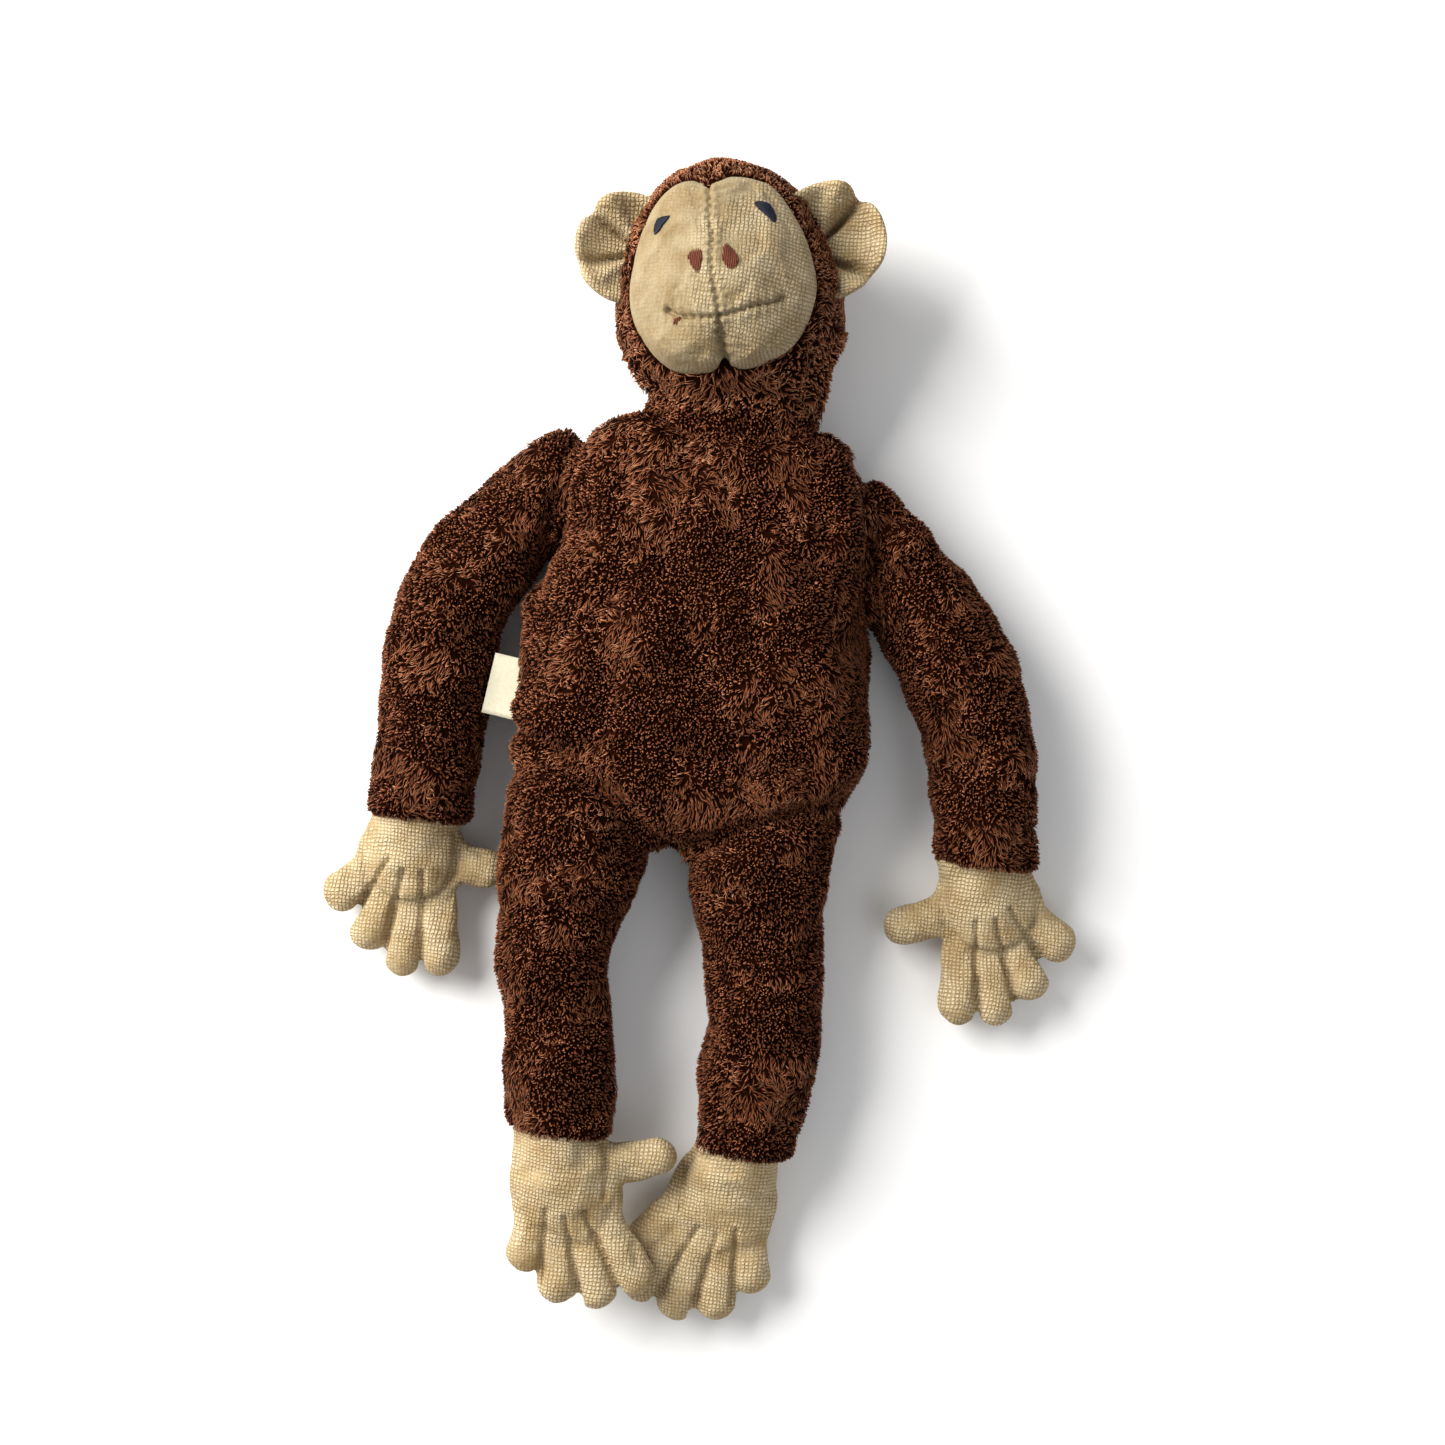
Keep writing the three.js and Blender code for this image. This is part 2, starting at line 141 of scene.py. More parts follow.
# hands and feet are drawn about the wrist or ankle, fingers towards -Y and the thumb towards +X
DIGIT = 7.2
HANDS = {
    "r": {"at": (-105, -46, 12), "turn": -2, "mirror": 1, "thumb": (26.8, -8)},
    "l": {"at": (102.5, -40.5, 12), "turn": 14, "mirror": -1, "thumb": (31.5, -11)},
}
HAND_PALM = ((-0.5, -8, 2), (20, 19.5, 10))
HAND_DIGITS = [
    ((9.5, -14), (14.8, -42)), ((2, -16), (1.6, -43.6)),
    ((-6, -14), (-11.5, -36.5)), ((-11, -8), (-23.5, -24)),
]
FEET = {
    "r": {"at": (-39, -152, 24), "turn": 14, "mirror": 1, "thumb": (34, -7)},
    "l": {"at": (22.5, -154.5, 11), "turn": -9, "mirror": -1, "thumb": (23, -31)},
}
FOOT_PALM = ((0, -13, 1.5), (20.5, 24, 9.5))
FOOT_DIGITS = [
    ((10.5, -23), (20, -47.5)), ((3, -26), (6.6, -50.5)),
    ((-5, -24), (-7.5, -46.5)), ((-11, -18), (-17, -34)),
]

SHOULDER_BALL = 12  # the hidden ball of fur that a shoulder turns about

# folds pressed into the finished skins: lines in plan
HIP_CREASES = [[(-76, -2), (-52, -12), (-30, -27), (-13, -42)], [(58, -14), (36, -20), (10, -31), (-13, -42)]]
ARM_CREASES = [
    [(-61, 106), (-64.5, 95), (-68, 72), (-70, 46)],
    [(39, 106), (42.5, 95), (49, 68), (52.5, 42)],
]
BELLY_FOLDS = [[(-40, 62), (-44, 30), (-38, 8), (-44, -6)], [(-20, 100), (-26, 84), (-24, 66)],
               [(22, 96), (30, 78), (26, 60)], [(-12, -4), (10, -10), (34, -6)]]

LABEL = {"reach": 11.5, "hem": 5, "width": 22, "edge": (-72.5, 11, 27), "ply": 0.25, "gap": 0.5, "tilt": -7}


# ---------------------------------------------------------------- fields
# A field gives the distance in millimetres from points (n, 3) to a form, negative inside it.
def ellipsoid(points, centre, radii):
    radii = np.array(radii, float)
    scaled = (points - np.array(centre)) / radii
    size = np.linalg.norm(scaled, axis=1)
    slope = np.linalg.norm(scaled / radii, axis=1)
    return size * (size - 1) / np.maximum(slope, 1e-6)


def capsule(points, start, end, start_radius, end_radius):
    start, end = np.array(start, float), np.array(end, float)
    along = end - start
    place = np.clip((points - start) @ along / (along @ along), 0, 1)
    radius = start_radius + (end_radius - start_radius) * place
    return np.linalg.norm(points - start - place[:, None] * along, axis=1) - radius


def union(a, b, blend):
    mix = np.clip(0.5 + 0.5 * (b - a) / blend, 0, 1)
    return b + (a - b) * mix - blend * mix * (1 - mix)


def common(a, b, blend):
    return -union(-a, -b, blend)


def union_all(fields, blend):
    whole = fields[0]
    for field in fields[1:]:
        whole = union(whole, field, blend)
    return whole


def spline(knots, steps=8, closed=False):
    """Catmull-Rom curve through knots, any number of columns."""
    knots = np.array(knots, float)
    if closed:
        knots = np.vstack([knots[-1], knots, knots[:2]])
    else:
        knots = np.vstack([2 * knots[0] - knots[1], knots, 2 * knots[-1] - knots[-2]])
    curve = []
    for a, b, c, d in zip(knots, knots[1:], knots[2:], knots[3:]):
        for t in np.arange(steps) / steps:
            bend = (2 * a - 5 * b + 4 * c - d) * t**2 + (3 * b - a - 3 * c + d) * t**3
            curve.append(0.5 * (2 * b + (c - a) * t + bend))
    if not closed:
        curve.append(knots[-2])
    return np.array(curve)


def tube(points, knots):
    """A tube along a curve of rows X, Y, Z, radius."""
    curve = spline(knots, 4)
    field = np.full(len(points), 1e3)
    for start, end in zip(curve, curve[1:]):
        field = np.minimum(field, capsule(points, start[:3], end[:3], start[3], end[3]))
    return field


def loft(points, rows, power=2.6):
    """A pillow through rows of place, centre X, centre Z, half width, half thickness."""
    curve = spline(rows, 8)
    y = points[:, 1]
    centre_x, centre_z, width, depth = (np.interp(y, curve[:, 0], curve[:, k]) for k in range(1, 5))
    across = np.abs(points[:, 0] - centre_x) / width
    up = np.abs(points[:, 2] - centre_z) / depth
    ratio = (across**power + up**power) ** (1 / power)
    side = (ratio - 1) * np.minimum(width, depth)
    return np.maximum(side, np.maximum(y - curve[-1, 0], curve[0, 0] - y))


def beyond(points, at, direction):
    """Positive past the plane through at, on the side that direction points to."""
    direction = np.array(direction, float)
    return (points - np.array(at)) @ (direction / np.linalg.norm(direction))


def line_distance(flat, line):
    """Distance in the plane from points (n, 2) to a polyline."""
    line = np.array(line, float)
    best = np.full(len(flat), 1e3)
    for start, end in zip(line, line[1:]):
        along = end - start
        t = np.clip((flat - start) @ along / (along @ along), 0, 1)
        best = np.minimum(best, np.linalg.norm(flat - start - t[:, None] * along, axis=1))
    return best


def outline_distance(flat, outline):
    """Distance in the plane to a closed outline, negative inside it."""
    closed = np.vstack([outline, outline[:1]])
    inside = np.zeros(len(flat), bool)
    for start, end in zip(closed, closed[1:]):
        crosses = (start[1] > flat[:, 1]) != (end[1] > flat[:, 1])
        rise = end[1] - start[1] if end[1] != start[1] else 1e-9
        edge = start[0] + (flat[:, 1] - start[1]) / rise * (end[0] - start[0])
        inside ^= crosses & (flat[:, 0] < edge)
    return np.where(inside, -1, 1) * line_distance(flat, closed)


def near(distance, width):
    """1 at a distance of 0, fading over width."""
    return np.exp(-((distance / width) ** 2))


def groove(distance, depth, width):
    return depth * near(distance, width)


def lumps(points, size, seed):
    """Slow unevenness, about -1 to 1."""
    draw = np.random.default_rng(SEED + seed)
    total = np.zeros(len(points))
    for _ in range(7):
        wave = draw.normal(size=3)
        wave *= 2 * math.pi / (size * draw.uniform(0.7, 1.4)) / np.linalg.norm(wave)
        total += np.sin(points @ wave + draw.uniform(0, 2 * math.pi))
    return total / 3


def turned(points, degrees):
    angle = math.radians(degrees)
    x, y = points[:, 0], points[:, 1]
    flat = [x * math.cos(angle) - y * math.sin(angle), x * math.sin(angle) + y * math.cos(angle)]
    return np.column_stack(flat + [points[:, 2]])


def to_head(points):
    return turned(points - np.array(HEAD_ORIGIN), -HEAD_TILT)


def from_head(points):
    return turned(np.array(points, float), HEAD_TILT) + np.array(HEAD_ORIGIN)


def unit(vectors):
    return vectors / np.maximum(np.linalg.norm(vectors, axis=1, keepdims=True), 1e-6)


def direction_between(start, end):
    along = np.array(end, float) - start
    return along / np.linalg.norm(along)


# ---------------------------------------------------------------- meshes
def new_mesh(name, corners, faces):
    """An object from corners in millimetres."""
    mesh = bpy.data.meshes.new(name)
    mesh.from_pydata((np.asarray(corners) * MM).tolist(), [], np.asarray(faces).tolist())
    mesh.update()
    mesh.shade_smooth()
    made = bpy.data.objects.new(name, mesh)
    bpy.context.scene.collection.objects.link(made)
    return made


def coordinates(made):
    flat = np.empty(len(made.data.vertices) * 3)
    made.data.vertices.foreach_get("co", flat)
    return flat.reshape(-1, 3) / MM


def set_coordinates(made, corners):
    made.data.vertices.foreach_set("co", (corners * MM).ravel())
    made.data.update()


def skin_from_field(name, field, low, high, voxel):
    """A closed quad mesh where the field is zero, inside a box."""
    low = np.array(low, float)
    counts = np.ceil((np.array(high, float) - low) / voxel).astype(int) + 1
    axes = [low[i] + voxel * np.arange(counts[i]) for i in range(3)]
    places = np.stack(np.meshgrid(*axes, indexing="ij"), axis=-1).reshape(-1, 3)
    band = 3 * voxel
    values = np.clip(field(places), -band, band).reshape(counts).astype(np.float32)
    grid = openvdb.FloatGrid(band)
    grid.copyFromArray(values)
    corners, quads = grid.convertToQuads(isovalue=0.0)
    made = new_mesh(name, low + voxel * corners.astype(float), quads)
    if signed_volume(made) < 0:
        made.data.flip_normals()
    return made


def signed_volume(made):
    made.data.calc_loop_triangles()
    corners = coordinates(made)
    index = np.empty(len(made.data.loop_triangles) * 3, int)
    made.data.loop_triangles.foreach_get("vertices", index)
    a, b, c = (corners[index.reshape(-1, 3)[:, k]] for k in range(3))
    return np.einsum("ij,ij->i", a, np.cross(b, c)).sum()


SIMULATED_FRAMES = 20
PRESSURE = 4
EASE = 0.03  # how much larger than its form the cloth is cut


def stuff(made, held, reach=1.6):
    """Presses stuffing out against the cloth of a closed skin, by reach at most.

    held (0 to 1) is how firmly the seams keep each corner.
    """
    before = coordinates(made)
    group = made.vertex_groups.new(name="seams")
    for index in np.nonzero(held > 0.02)[0]:
        group.add([int(index)], float(held[index]), "REPLACE")
    cloth = made.modifiers.new("cloth", "CLOTH")
    cloth.settings.use_pressure = True
    cloth.settings.uniform_pressure_force = PRESSURE
    cloth.settings.effector_weights.gravity = 0
    cloth.settings.quality = 4
    cloth.settings.tension_stiffness = 20
    cloth.settings.compression_stiffness = 20
    cloth.settings.bending_stiffness = 0.4
    cloth.settings.shrink_min = -EASE
    cloth.settings.vertex_group_mass = "seams"
    cloth.collision_settings.use_collision = False
    cloth.point_cache.frame_start = 1
    cloth.point_cache.frame_end = SIMULATED_FRAMES
    for step in range(1, SIMULATED_FRAMES + 1):
        bpy.context.scene.frame_set(step)
    settled = made.evaluated_get(bpy.context.evaluated_depsgraph_get())
    flat = np.empty(len(before) * 3)
    settled.data.vertices.foreach_get("co", flat)
    moved = flat.reshape(-1, 3) / MM - before
    made.modifiers.remove(cloth)
    made.vertex_groups.remove(group)
    bpy.context.scene.frame_set(1)
    length = np.linalg.norm(moved, axis=1, keepdims=True)
    moved *= np.minimum(1, reach / np.maximum(length, 1e-6))
    after = before + moved
    after[:, 2] = np.maximum(after[:, 2], np.minimum(before[:, 2], 0.3))
    set_coordinates(made, after)


def press(made, depth):
    """Pushes each corner in along its normal by depth(points)."""
    corners, _, normals = triangles_of(made)
    set_coordinates(made, corners - normals * depth(corners)[:, None])


def subdivide(made):
    """One Catmull-Clark step, applied."""
    modifier = made.modifiers.new("smooth", "SUBSURF")
    modifier.levels = modifier.render_levels = 1
    finer = bpy.data.meshes.new_from_object(made.evaluated_get(bpy.context.evaluated_depsgraph_get()))
    old = made.data
    made.modifiers.remove(modifier)
    made.data = finer
    finer.name = old.name
    bpy.data.meshes.remove(old)
    made.data.shade_smooth()


def wrap(made, bodies, start=None, end=None):
    """Rides one body; given two, it is only fixed where it stands, and start and end are not used."""
    if isinstance(bodies, str):
        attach(made, bodies)
    else:
        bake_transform(made)


# ---------------------------------------------------------------- materials
def srgb(red, green, blue):
    """Linear colour from 0-255 values as they look."""
    values = np.array([red, green, blue]) / 255
    linear = np.where(values <= 0.04045, values / 12.92, ((values + 0.055) / 1.055) ** 2.4)
    return (*linear, 1.0)


class Nodes:
    """A material's node tree, built one node at a time."""

    def __init__(self, name, roughness):
        self.material = bpy.data.materials.new(name)
        self.material.use_nodes = True
        self.tree = self.material.node_tree
        self.shader = self.tree.nodes["Principled BSDF"]
        self.shader.inputs["Roughness"].default_value = roughness
        self.shader.inputs["Specular IOR Level"].default_value = 0.2

    def add(self, kind, settings=(), inputs=()):
        node = self.tree.nodes.new("ShaderNode" + kind)
        for key, value in dict(settings).items():
            setattr(node, key, value)
        for key, value in dict(inputs).items():
            if isinstance(value, bpy.types.NodeSocket):
                self.tree.links.new(value, node.inputs[key])
            else:
                node.inputs[key].default_value = value
        return node

    def stored(self, attribute):
        """A place or direction that each corner keeps from rest."""
        return self.add("Attribute", {"attribute_name": attribute}).outputs["Vector"]

    def ramp(self, factor, stops):
        node = self.add("ValToRGB", inputs={"Fac": factor})
        elements = node.color_ramp.elements
        while len(elements) < len(stops):
            elements.new(0.5)
        for element, (place, colour) in zip(elements, stops):
            element.position = place
            element.color = colour
        return node.outputs["Color"]

    def grey_ramp(self, factor, stops):
        return self.ramp(factor, [(place, (value, value, value, 1)) for place, value in stops])

    def noise(self, vector, scale, detail=3.0, roughness=0.55):
        inputs = {"Vector": vector, "Scale": scale, "Detail": detail, "Roughness": roughness}
        return self.add("TexNoise", inputs=inputs).outputs["Fac"]

    def math(self, operation, first, second=0.0):
        return self.add("Math", {"operation": operation}, {0: first, 1: second}).outputs[0]

    def mix(self, factor, first, second, blend="MIX"):
        node = self.add("Mix", {"data_type": "RGBA", "blend_type": blend})
        for socket, value in ((0, factor), (6, first), (7, second)):
            if isinstance(value, bpy.types.NodeSocket):
                self.tree.links.new(value, node.inputs[socket])
            else:
                node.inputs[socket].default_value = value
        return node.outputs[2]

    def bump(self, height, strength, distance):
        node = self.add("Bump", inputs={"Height": height, "Strength": strength, "Distance": distance})
        self.link(node.outputs["Normal"], "Normal")

    def link(self, socket, name):
        self.tree.links.new(socket, self.shader.inputs[name])

    def sheen(self, weight, tint, roughness=0.5):
        self.shader.inputs["Sheen Weight"].default_value = weight
        self.shader.inputs["Sheen Tint"].default_value = tint
        self.shader.inputs["Sheen Roughness"].default_value = roughness


PILE_LAYER = "OFBake"  # across: a tuft's tone, paler as painted sheen where it lies flat; up: root to tip, with painted shade at the root and a painted highlight at the tip
CLOTH_FACING = "cloth_facing"  # each corner's normal at rest
CLOTH_PLACE = "cloth_place"  # each corner's place at rest, so patterns stay with the cloth as it bends
WEAVE_PITCH = 1.35


def pile_material():
    nodes = Nodes("brown_pile", 0.62)
    layer = nodes.add("UVMap", {"uv_map": PILE_LAYER}).outputs["UV"]
    parts = nodes.add("SeparateXYZ", inputs={"Vector": layer})
    # root to tip: near black at the root, the fur's own darker root with painted shade for the gaps between
    # tufts, and pale at the tip, the fur's lighter tip with a painted highlight
    along = nodes.ramp(parts.outputs["Y"], [
        (0.0, srgb(5, 1, 0)), (0.4, srgb(42, 14, 4)), (0.72, srgb(158, 100, 68)), (1.0, srgb(250, 204, 168)),
    ])
    # across: each tuft's tone; where a tuft lies flat, its paler tone is painted sheen
    shade = nodes.ramp(parts.outputs["X"], [
        (0.0, srgb(104, 82, 72)), (0.35, srgb(172, 150, 138)), (0.7, srgb(232, 212, 198)),
        (1.0, srgb(255, 250, 244)),
    ])
    nodes.link(nodes.mix(1.0, along, shade, "MULTIPLY"), "Base Color")
    nodes.shader.inputs["Specular IOR Level"].default_value = 0.06
    nodes.sheen(0.06, srgb(190, 120, 84), 0.5)
    return nodes.material


def backing_material():
    """The knitted ground that the pile stands in, near black: its own dark brown with painted shade for the
    gaps between the tufts.
    """
    nodes = Nodes("pile_backing", 0.95)
    place = nodes.stored(CLOTH_PLACE)
    patches = nodes.noise(place, 0.45, 4.0)
    nodes.link(nodes.ramp(patches, [(0.3, srgb(12, 3, 0)), (0.7, srgb(38, 13, 4))]), "Base Color")
    nodes.shader.inputs["Specular IOR Level"].default_value = 0.02
    nodes.bump(patches, 0.6, 0.0008)
    return nodes.material


def velour_material(name, light, middle, dark, soft, showing_at):
    """Short beige pile over a coarse weave.

    soft is the pile's two colours; light, middle and dark are the weave's, which shows in random spots of
    wear and, as painted light, less towards the lit side at the first X in showing_at, in millimetres, and
    most towards the shaded side at the second.
    """
    nodes = Nodes(name, 0.8)
    place = nodes.stored(CLOTH_PLACE)
    wander = nodes.math("ADD", nodes.math("MULTIPLY", nodes.noise(place, 0.03, 2.0), 6.0),
                        nodes.math("MULTIPLY", nodes.noise(place, 0.4, 2.0), 1.3))
    parts = nodes.add("SeparateXYZ", inputs={"Vector": place})
    normal = nodes.add("SeparateXYZ", inputs={"Vector": nodes.stored(CLOTH_FACING)})
    ridge = {}
    for axis in "XYZ":
        bent = nodes.math("ADD", parts.outputs[axis], wander)
        wave = nodes.math("SINE", nodes.math("MULTIPLY", bent, 2 * math.pi / WEAVE_PITCH))
        lifted = nodes.math("ADD", nodes.math("MULTIPLY", wave, 0.5), 0.5)
        ridge[axis] = nodes.grey_ramp(lifted, [(0.0, 0.15), (0.6, 1.0)])
    tall, wide = (nodes.math("ABSOLUTE", normal.outputs[axis]) for axis in "ZX")
    upward = nodes.math("GREATER_THAN", tall, 0.55)
    sideways = nodes.math("GREATER_THAN", wide, 0.6)
    upright_weave = nodes.mix(sideways, nodes.math("MULTIPLY", ridge["X"], ridge["Z"]),
                              nodes.math("MULTIPLY", ridge["Y"], ridge["Z"]))
    weave = nodes.mix(upward, upright_weave, nodes.math("MULTIPLY", ridge["X"], ridge["Y"]))
    fuzz = nodes.noise(place, 1.3, 5.0, 0.7)
    patches = nodes.noise(place, 0.07, 3.0, 0.65)
    # painted light: the weave hides towards the lit side, at low X, and shows towards the shaded side, at
    # high X
    lit_side_drift = nodes.add("MapRange", inputs={"Value": parts.outputs["X"], "From Min": showing_at[0],
                                          "From Max": showing_at[1], "To Min": -0.22, "To Max": 0.22})
    wear_and_light = nodes.math("ADD", patches, lit_side_drift.outputs["Result"])
    showing = nodes.grey_ramp(wear_and_light, [(0.4, 0.12), (0.62, 1.0)])
    fuzzy_weave = nodes.math("ADD", nodes.math("MULTIPLY", weave, 0.55), nodes.math("MULTIPLY", fuzz, 0.75))
    threads = nodes.ramp(fuzzy_weave, [(0.14, dark), (0.5, middle), (0.95, light)])
    pile = nodes.ramp(fuzz, [(0.3, soft[0]), (0.7, soft[1])])
    uneven = nodes.noise(place, 0.1, 4.0)
    blotch = nodes.ramp(uneven, [(0.32, srgb(226, 215, 196)), (0.6, srgb(255, 255, 255))])
    colour = nodes.mix(showing, pile, threads)
    nodes.link(nodes.mix(1.0, colour, blotch, "MULTIPLY"), "Base Color")
    raised = nodes.math("MULTIPLY", weave, showing)
    nodes.bump(nodes.math("ADD", raised, nodes.math("MULTIPLY", fuzz, 0.9)), 0.9, 0.0007)
    nodes.sheen(0.15, srgb(240, 222, 190))
    return nodes.material


def thread_material(name, dark, light):
    nodes = Nodes(name, 0.6)
    place = nodes.stored(CLOTH_PLACE)
    strands = nodes.noise(place, 2.4, 4.0, 0.7)
    nodes.link(nodes.ramp(strands, [(0.3, dark), (0.72, light)]), "Base Color")
    nodes.bump(strands, 0.5, 0.0003)
    return nodes.material


def label_material():
    """Plain woven ribbon."""
    nodes = Nodes("label", 0.55)
    place = nodes.stored(CLOTH_PLACE)
    fine = nodes.add("TexWave", inputs={"Vector": place, "Scale": 0.9, "Distortion": 0.4}).outputs["Fac"]
    grain = nodes.mix(0.5, fine, nodes.noise(place, 0.8, 3.0))
    nodes.link(nodes.ramp(grain, [(0.2, srgb(208, 199, 166)), (0.8, srgb(240, 235, 214))]), "Base Color")
    nodes.bump(fine, 0.3, 0.0002)
    return nodes.material


def floor_material():
    nodes = Nodes("floor", 0.9)
    place = nodes.add("TexCoord").outputs["Object"]
    mottle = nodes.noise(place, 6.0, 2.0)
    nodes.link(nodes.ramp(mottle, [(0.3, srgb(248, 248, 248)), (0.7, srgb(252, 252, 252))]), "Base Color")
    return nodes.material


PILE = pile_material()
BACKING = backing_material()
FACE_VELOUR = velour_material("face_velour", srgb(204, 188, 156), srgb(164, 145, 111), srgb(86, 68, 42),
                              (srgb(137, 120, 88), srgb(162, 147, 115)), (-34, 2))
LIMB_VELOUR = velour_material("beige_velour", srgb(227, 209, 173), srgb(179, 156, 116), srgb(84, 64, 38),
                              (srgb(152, 128, 88), srgb(188, 165, 122)), (-3000, 1000))
NAVY = thread_material("eye_thread", srgb(7, 9, 18), srgb(28, 34, 54))
RUST = thread_material("nose_thread", srgb(52, 20, 10), srgb(126, 66, 42))
SEAM_THREAD = thread_material("seam_thread", srgb(96, 74, 44), srgb(150, 122, 82))
RIBBON = label_material()


def finish_piece(made, material, slot):
    """Gives a finished mesh its material and its rest places; slot is not used."""
    made.data.materials.clear()
    made.data.materials.append(material)
    place = made.data.attributes.new(CLOTH_PLACE, "FLOAT_VECTOR", "POINT")
    corners, _, normals = triangles_of(made)
    place.data.foreach_set("vector", corners.ravel())
    facing = made.data.attributes.new(CLOTH_FACING, "FLOAT_VECTOR", "POINT")
    facing.data.foreach_set("vector", normals.ravel())


# ---------------------------------------------------------------- pile
TUFT_SIDES = 3
TUFTS_PER_LOCK = 7
HIDDEN_BELOW = 7.0  # height under which the toy's underside needs less fur
HIDDEN_SHARE = 0.45  # how much of its fur the underside keeps


def triangles_of(made):
    made.data.calc_loop_triangles()
    index = np.empty(len(made.data.loop_triangles) * 3, int)
    made.data.loop_triangles.foreach_get("vertices", index)
    normals = np.empty(len(made.data.vertices) * 3)
    made.data.vertices.foreach_get("normal", normals)
    return coordinates(made), index.reshape(-1, 3), normals.reshape(-1, 3)


def scatter(made, spacing, draw):
    """Points spread over a mesh by area, each with its normal."""
    corners, triangles, normals = triangles_of(made)
    a, b, c = (corners[triangles[:, k]] for k in range(3))
    area = np.linalg.norm(np.cross(b - a, c - a), axis=1) / 2
    edges = np.concatenate([[0], np.cumsum(area)])
    count = int(edges[-1] / spacing**2)
    picks = (np.arange(count) + draw.random(count)) * edges[-1] / count
    chosen = np.clip(np.searchsorted(edges, picks, side="right") - 1, 0, len(area) - 1)
    u, v = draw.random(count), draw.random(count)
    over = u + v > 1
    u[over], v[over] = 1 - u[over], 1 - v[over]
    weights = np.stack([1 - u - v, u, v], axis=1)[:, :, None]
    points = (corners[triangles[chosen]] * weights).sum(axis=1)
    upright = (normals[triangles[chosen]] * weights).sum(axis=1)
    return points, upright / np.linalg.norm(upright, axis=1, keepdims=True)


def gather(tips, spacing, draw):
    """For each tip, the middle of the lock it belongs to, and how strongly it is drawn there."""
    centres = tips[draw.permutation(len(tips))[:max(1, len(tips) // TUFTS_PER_LOCK)]]
    tree = KDTree(len(centres))
    for index, centre in enumerate(centres):
        tree.insert(centre, index)
    tree.balance()
    found = [tree.find(tip) for tip in tips]
    lock = np.array([hit[0] for hit in found])
    distance = np.array([hit[2] for hit in found])[:, None]
    return lock, np.clip(1.4 - distance / (2.5 * spacing), 0, 1)


def grow_pile(skin, nap, seed, spacing=1.05, length=2.8, lie=0.18, wanted=None, paler_by=0.0):
    """Tufts of pile over a skin, as one mesh.

    nap(points) is the way the fur is brushed. lie is how much of it lies down, and tufts that lie down are
    drawn paler, which is painted sheen; the last argument is how much paler its whole colour is made; both
    run from 0 to 1. wanted(points) is where it grows.
    """
    draw = np.random.default_rng(SEED + seed)
    points, upright = scatter(skin, spacing, draw)
    keep = (points[:, 2] > HIDDEN_BELOW) | (draw.random(len(points)) < HIDDEN_SHARE)
    if wanted is not None:
        keep &= wanted(points)
    points, upright = points[keep], upright[keep]
    count = len(points)

    swirl = np.column_stack([lumps(points, 18, seed + k) for k in range(3)])
    curl = np.column_stack([lumps(points, 5, seed + 3 + k) for k in range(3)])
    wide, fine = lumps(points, 27, seed + 8), lumps(points, 8, seed + 7)
    lying = np.clip(lie + 1.1 * wide + 0.5 * fine, 0, 1)[:, None]
    brushed = nap(points) + 0.9 * swirl + 0.5 * curl + draw.normal(size=(count, 3)) * (1.1 - 0.8 * lying)
    brushed = unit(brushed - (brushed * upright).sum(axis=1, keepdims=True) * upright)
    sideways = np.cross(upright, brushed)
    twist = draw.uniform(-0.7, 0.7, (count, 1)) * (1 - 0.6 * lying)
    rise = 0.92 - 0.6 * lying
    size = length * draw.uniform(0.7, 1.2, (count, 1)) * (0.8 + 0.75 * lying)
    radius = 0.45 * spacing * draw.uniform(0.75, 1.25, (count, 1)) * (1.05 - 0.3 * lying)

    middle = points + size * (0.55 * rise * upright + (0.1 + 0.25 * lying) * brushed)
    tip = points + size * (0.85 * rise * upright + (0.25 + 0.6 * lying) * brushed + 0.35 * twist * sideways)
    lock, strength = gather(tip, spacing, draw)
    tip += strength * (0.25 + 0.35 * lying) * (lock - tip)
    root = points - 0.4 * upright
    rings = []
    for k in range(TUFT_SIDES):
        angle = 2 * math.pi * k / TUFT_SIDES
        out = math.cos(angle) * sideways + math.sin(angle) * unit(brushed * rise + 0.2 * upright)
        rings.append((root + radius * out, middle + 0.8 * radius * out))
    corners = np.stack([ring[0] for ring in rings] + [ring[1] for ring in rings] + [tip], axis=1)

    first = (np.arange(count) * (2 * TUFT_SIDES + 1))[:, None]
    faces = []
    for k in range(TUFT_SIDES):
        after = (k + 1) % TUFT_SIDES
        faces.append(first + [k, after, TUFT_SIDES + k])
        faces.append(first + [after, TUFT_SIDES + after, TUFT_SIDES + k])
        faces.append(first + [TUFT_SIDES + k, TUFT_SIDES + after, 2 * TUFT_SIDES])
    faces = np.stack(faces, axis=1).reshape(-1, 3)

    name = skin.name.replace("_skin", "") + "_pile"
    made = new_mesh(name, corners.reshape(-1, 3), faces)
    # each tuft's tone: random tone and slow tone variation, made paler by the last argument, and paler where
    # the tuft lies flat, which is painted sheen
    tone_and_sheen = 0.34 + paler_by + 0.42 * lying[:, 0] + 0.12 * lumps(points, 7, seed + 10)
    shade = np.clip(tone_and_sheen + draw.normal(0, 0.15, count), 0.02, 0.98)
    height = np.concatenate([np.zeros(TUFT_SIDES), np.full(TUFT_SIDES, 0.55), [1.0]])
    spread = np.concatenate([np.linspace(-0.01, 0.01, TUFT_SIDES)] * 2 + [[0.0]])
    across = (shade[:, None] + spread).ravel()
    up = np.tile(0.02 + 0.96 * height, count)
    layer = made.data.uv_layers.new(name=PILE_LAYER)
    layer.data.foreach_set("uv", np.column_stack([across[faces.ravel()], up[faces.ravel()]]).ravel())
    made.data.materials.append(PILE)
    return made


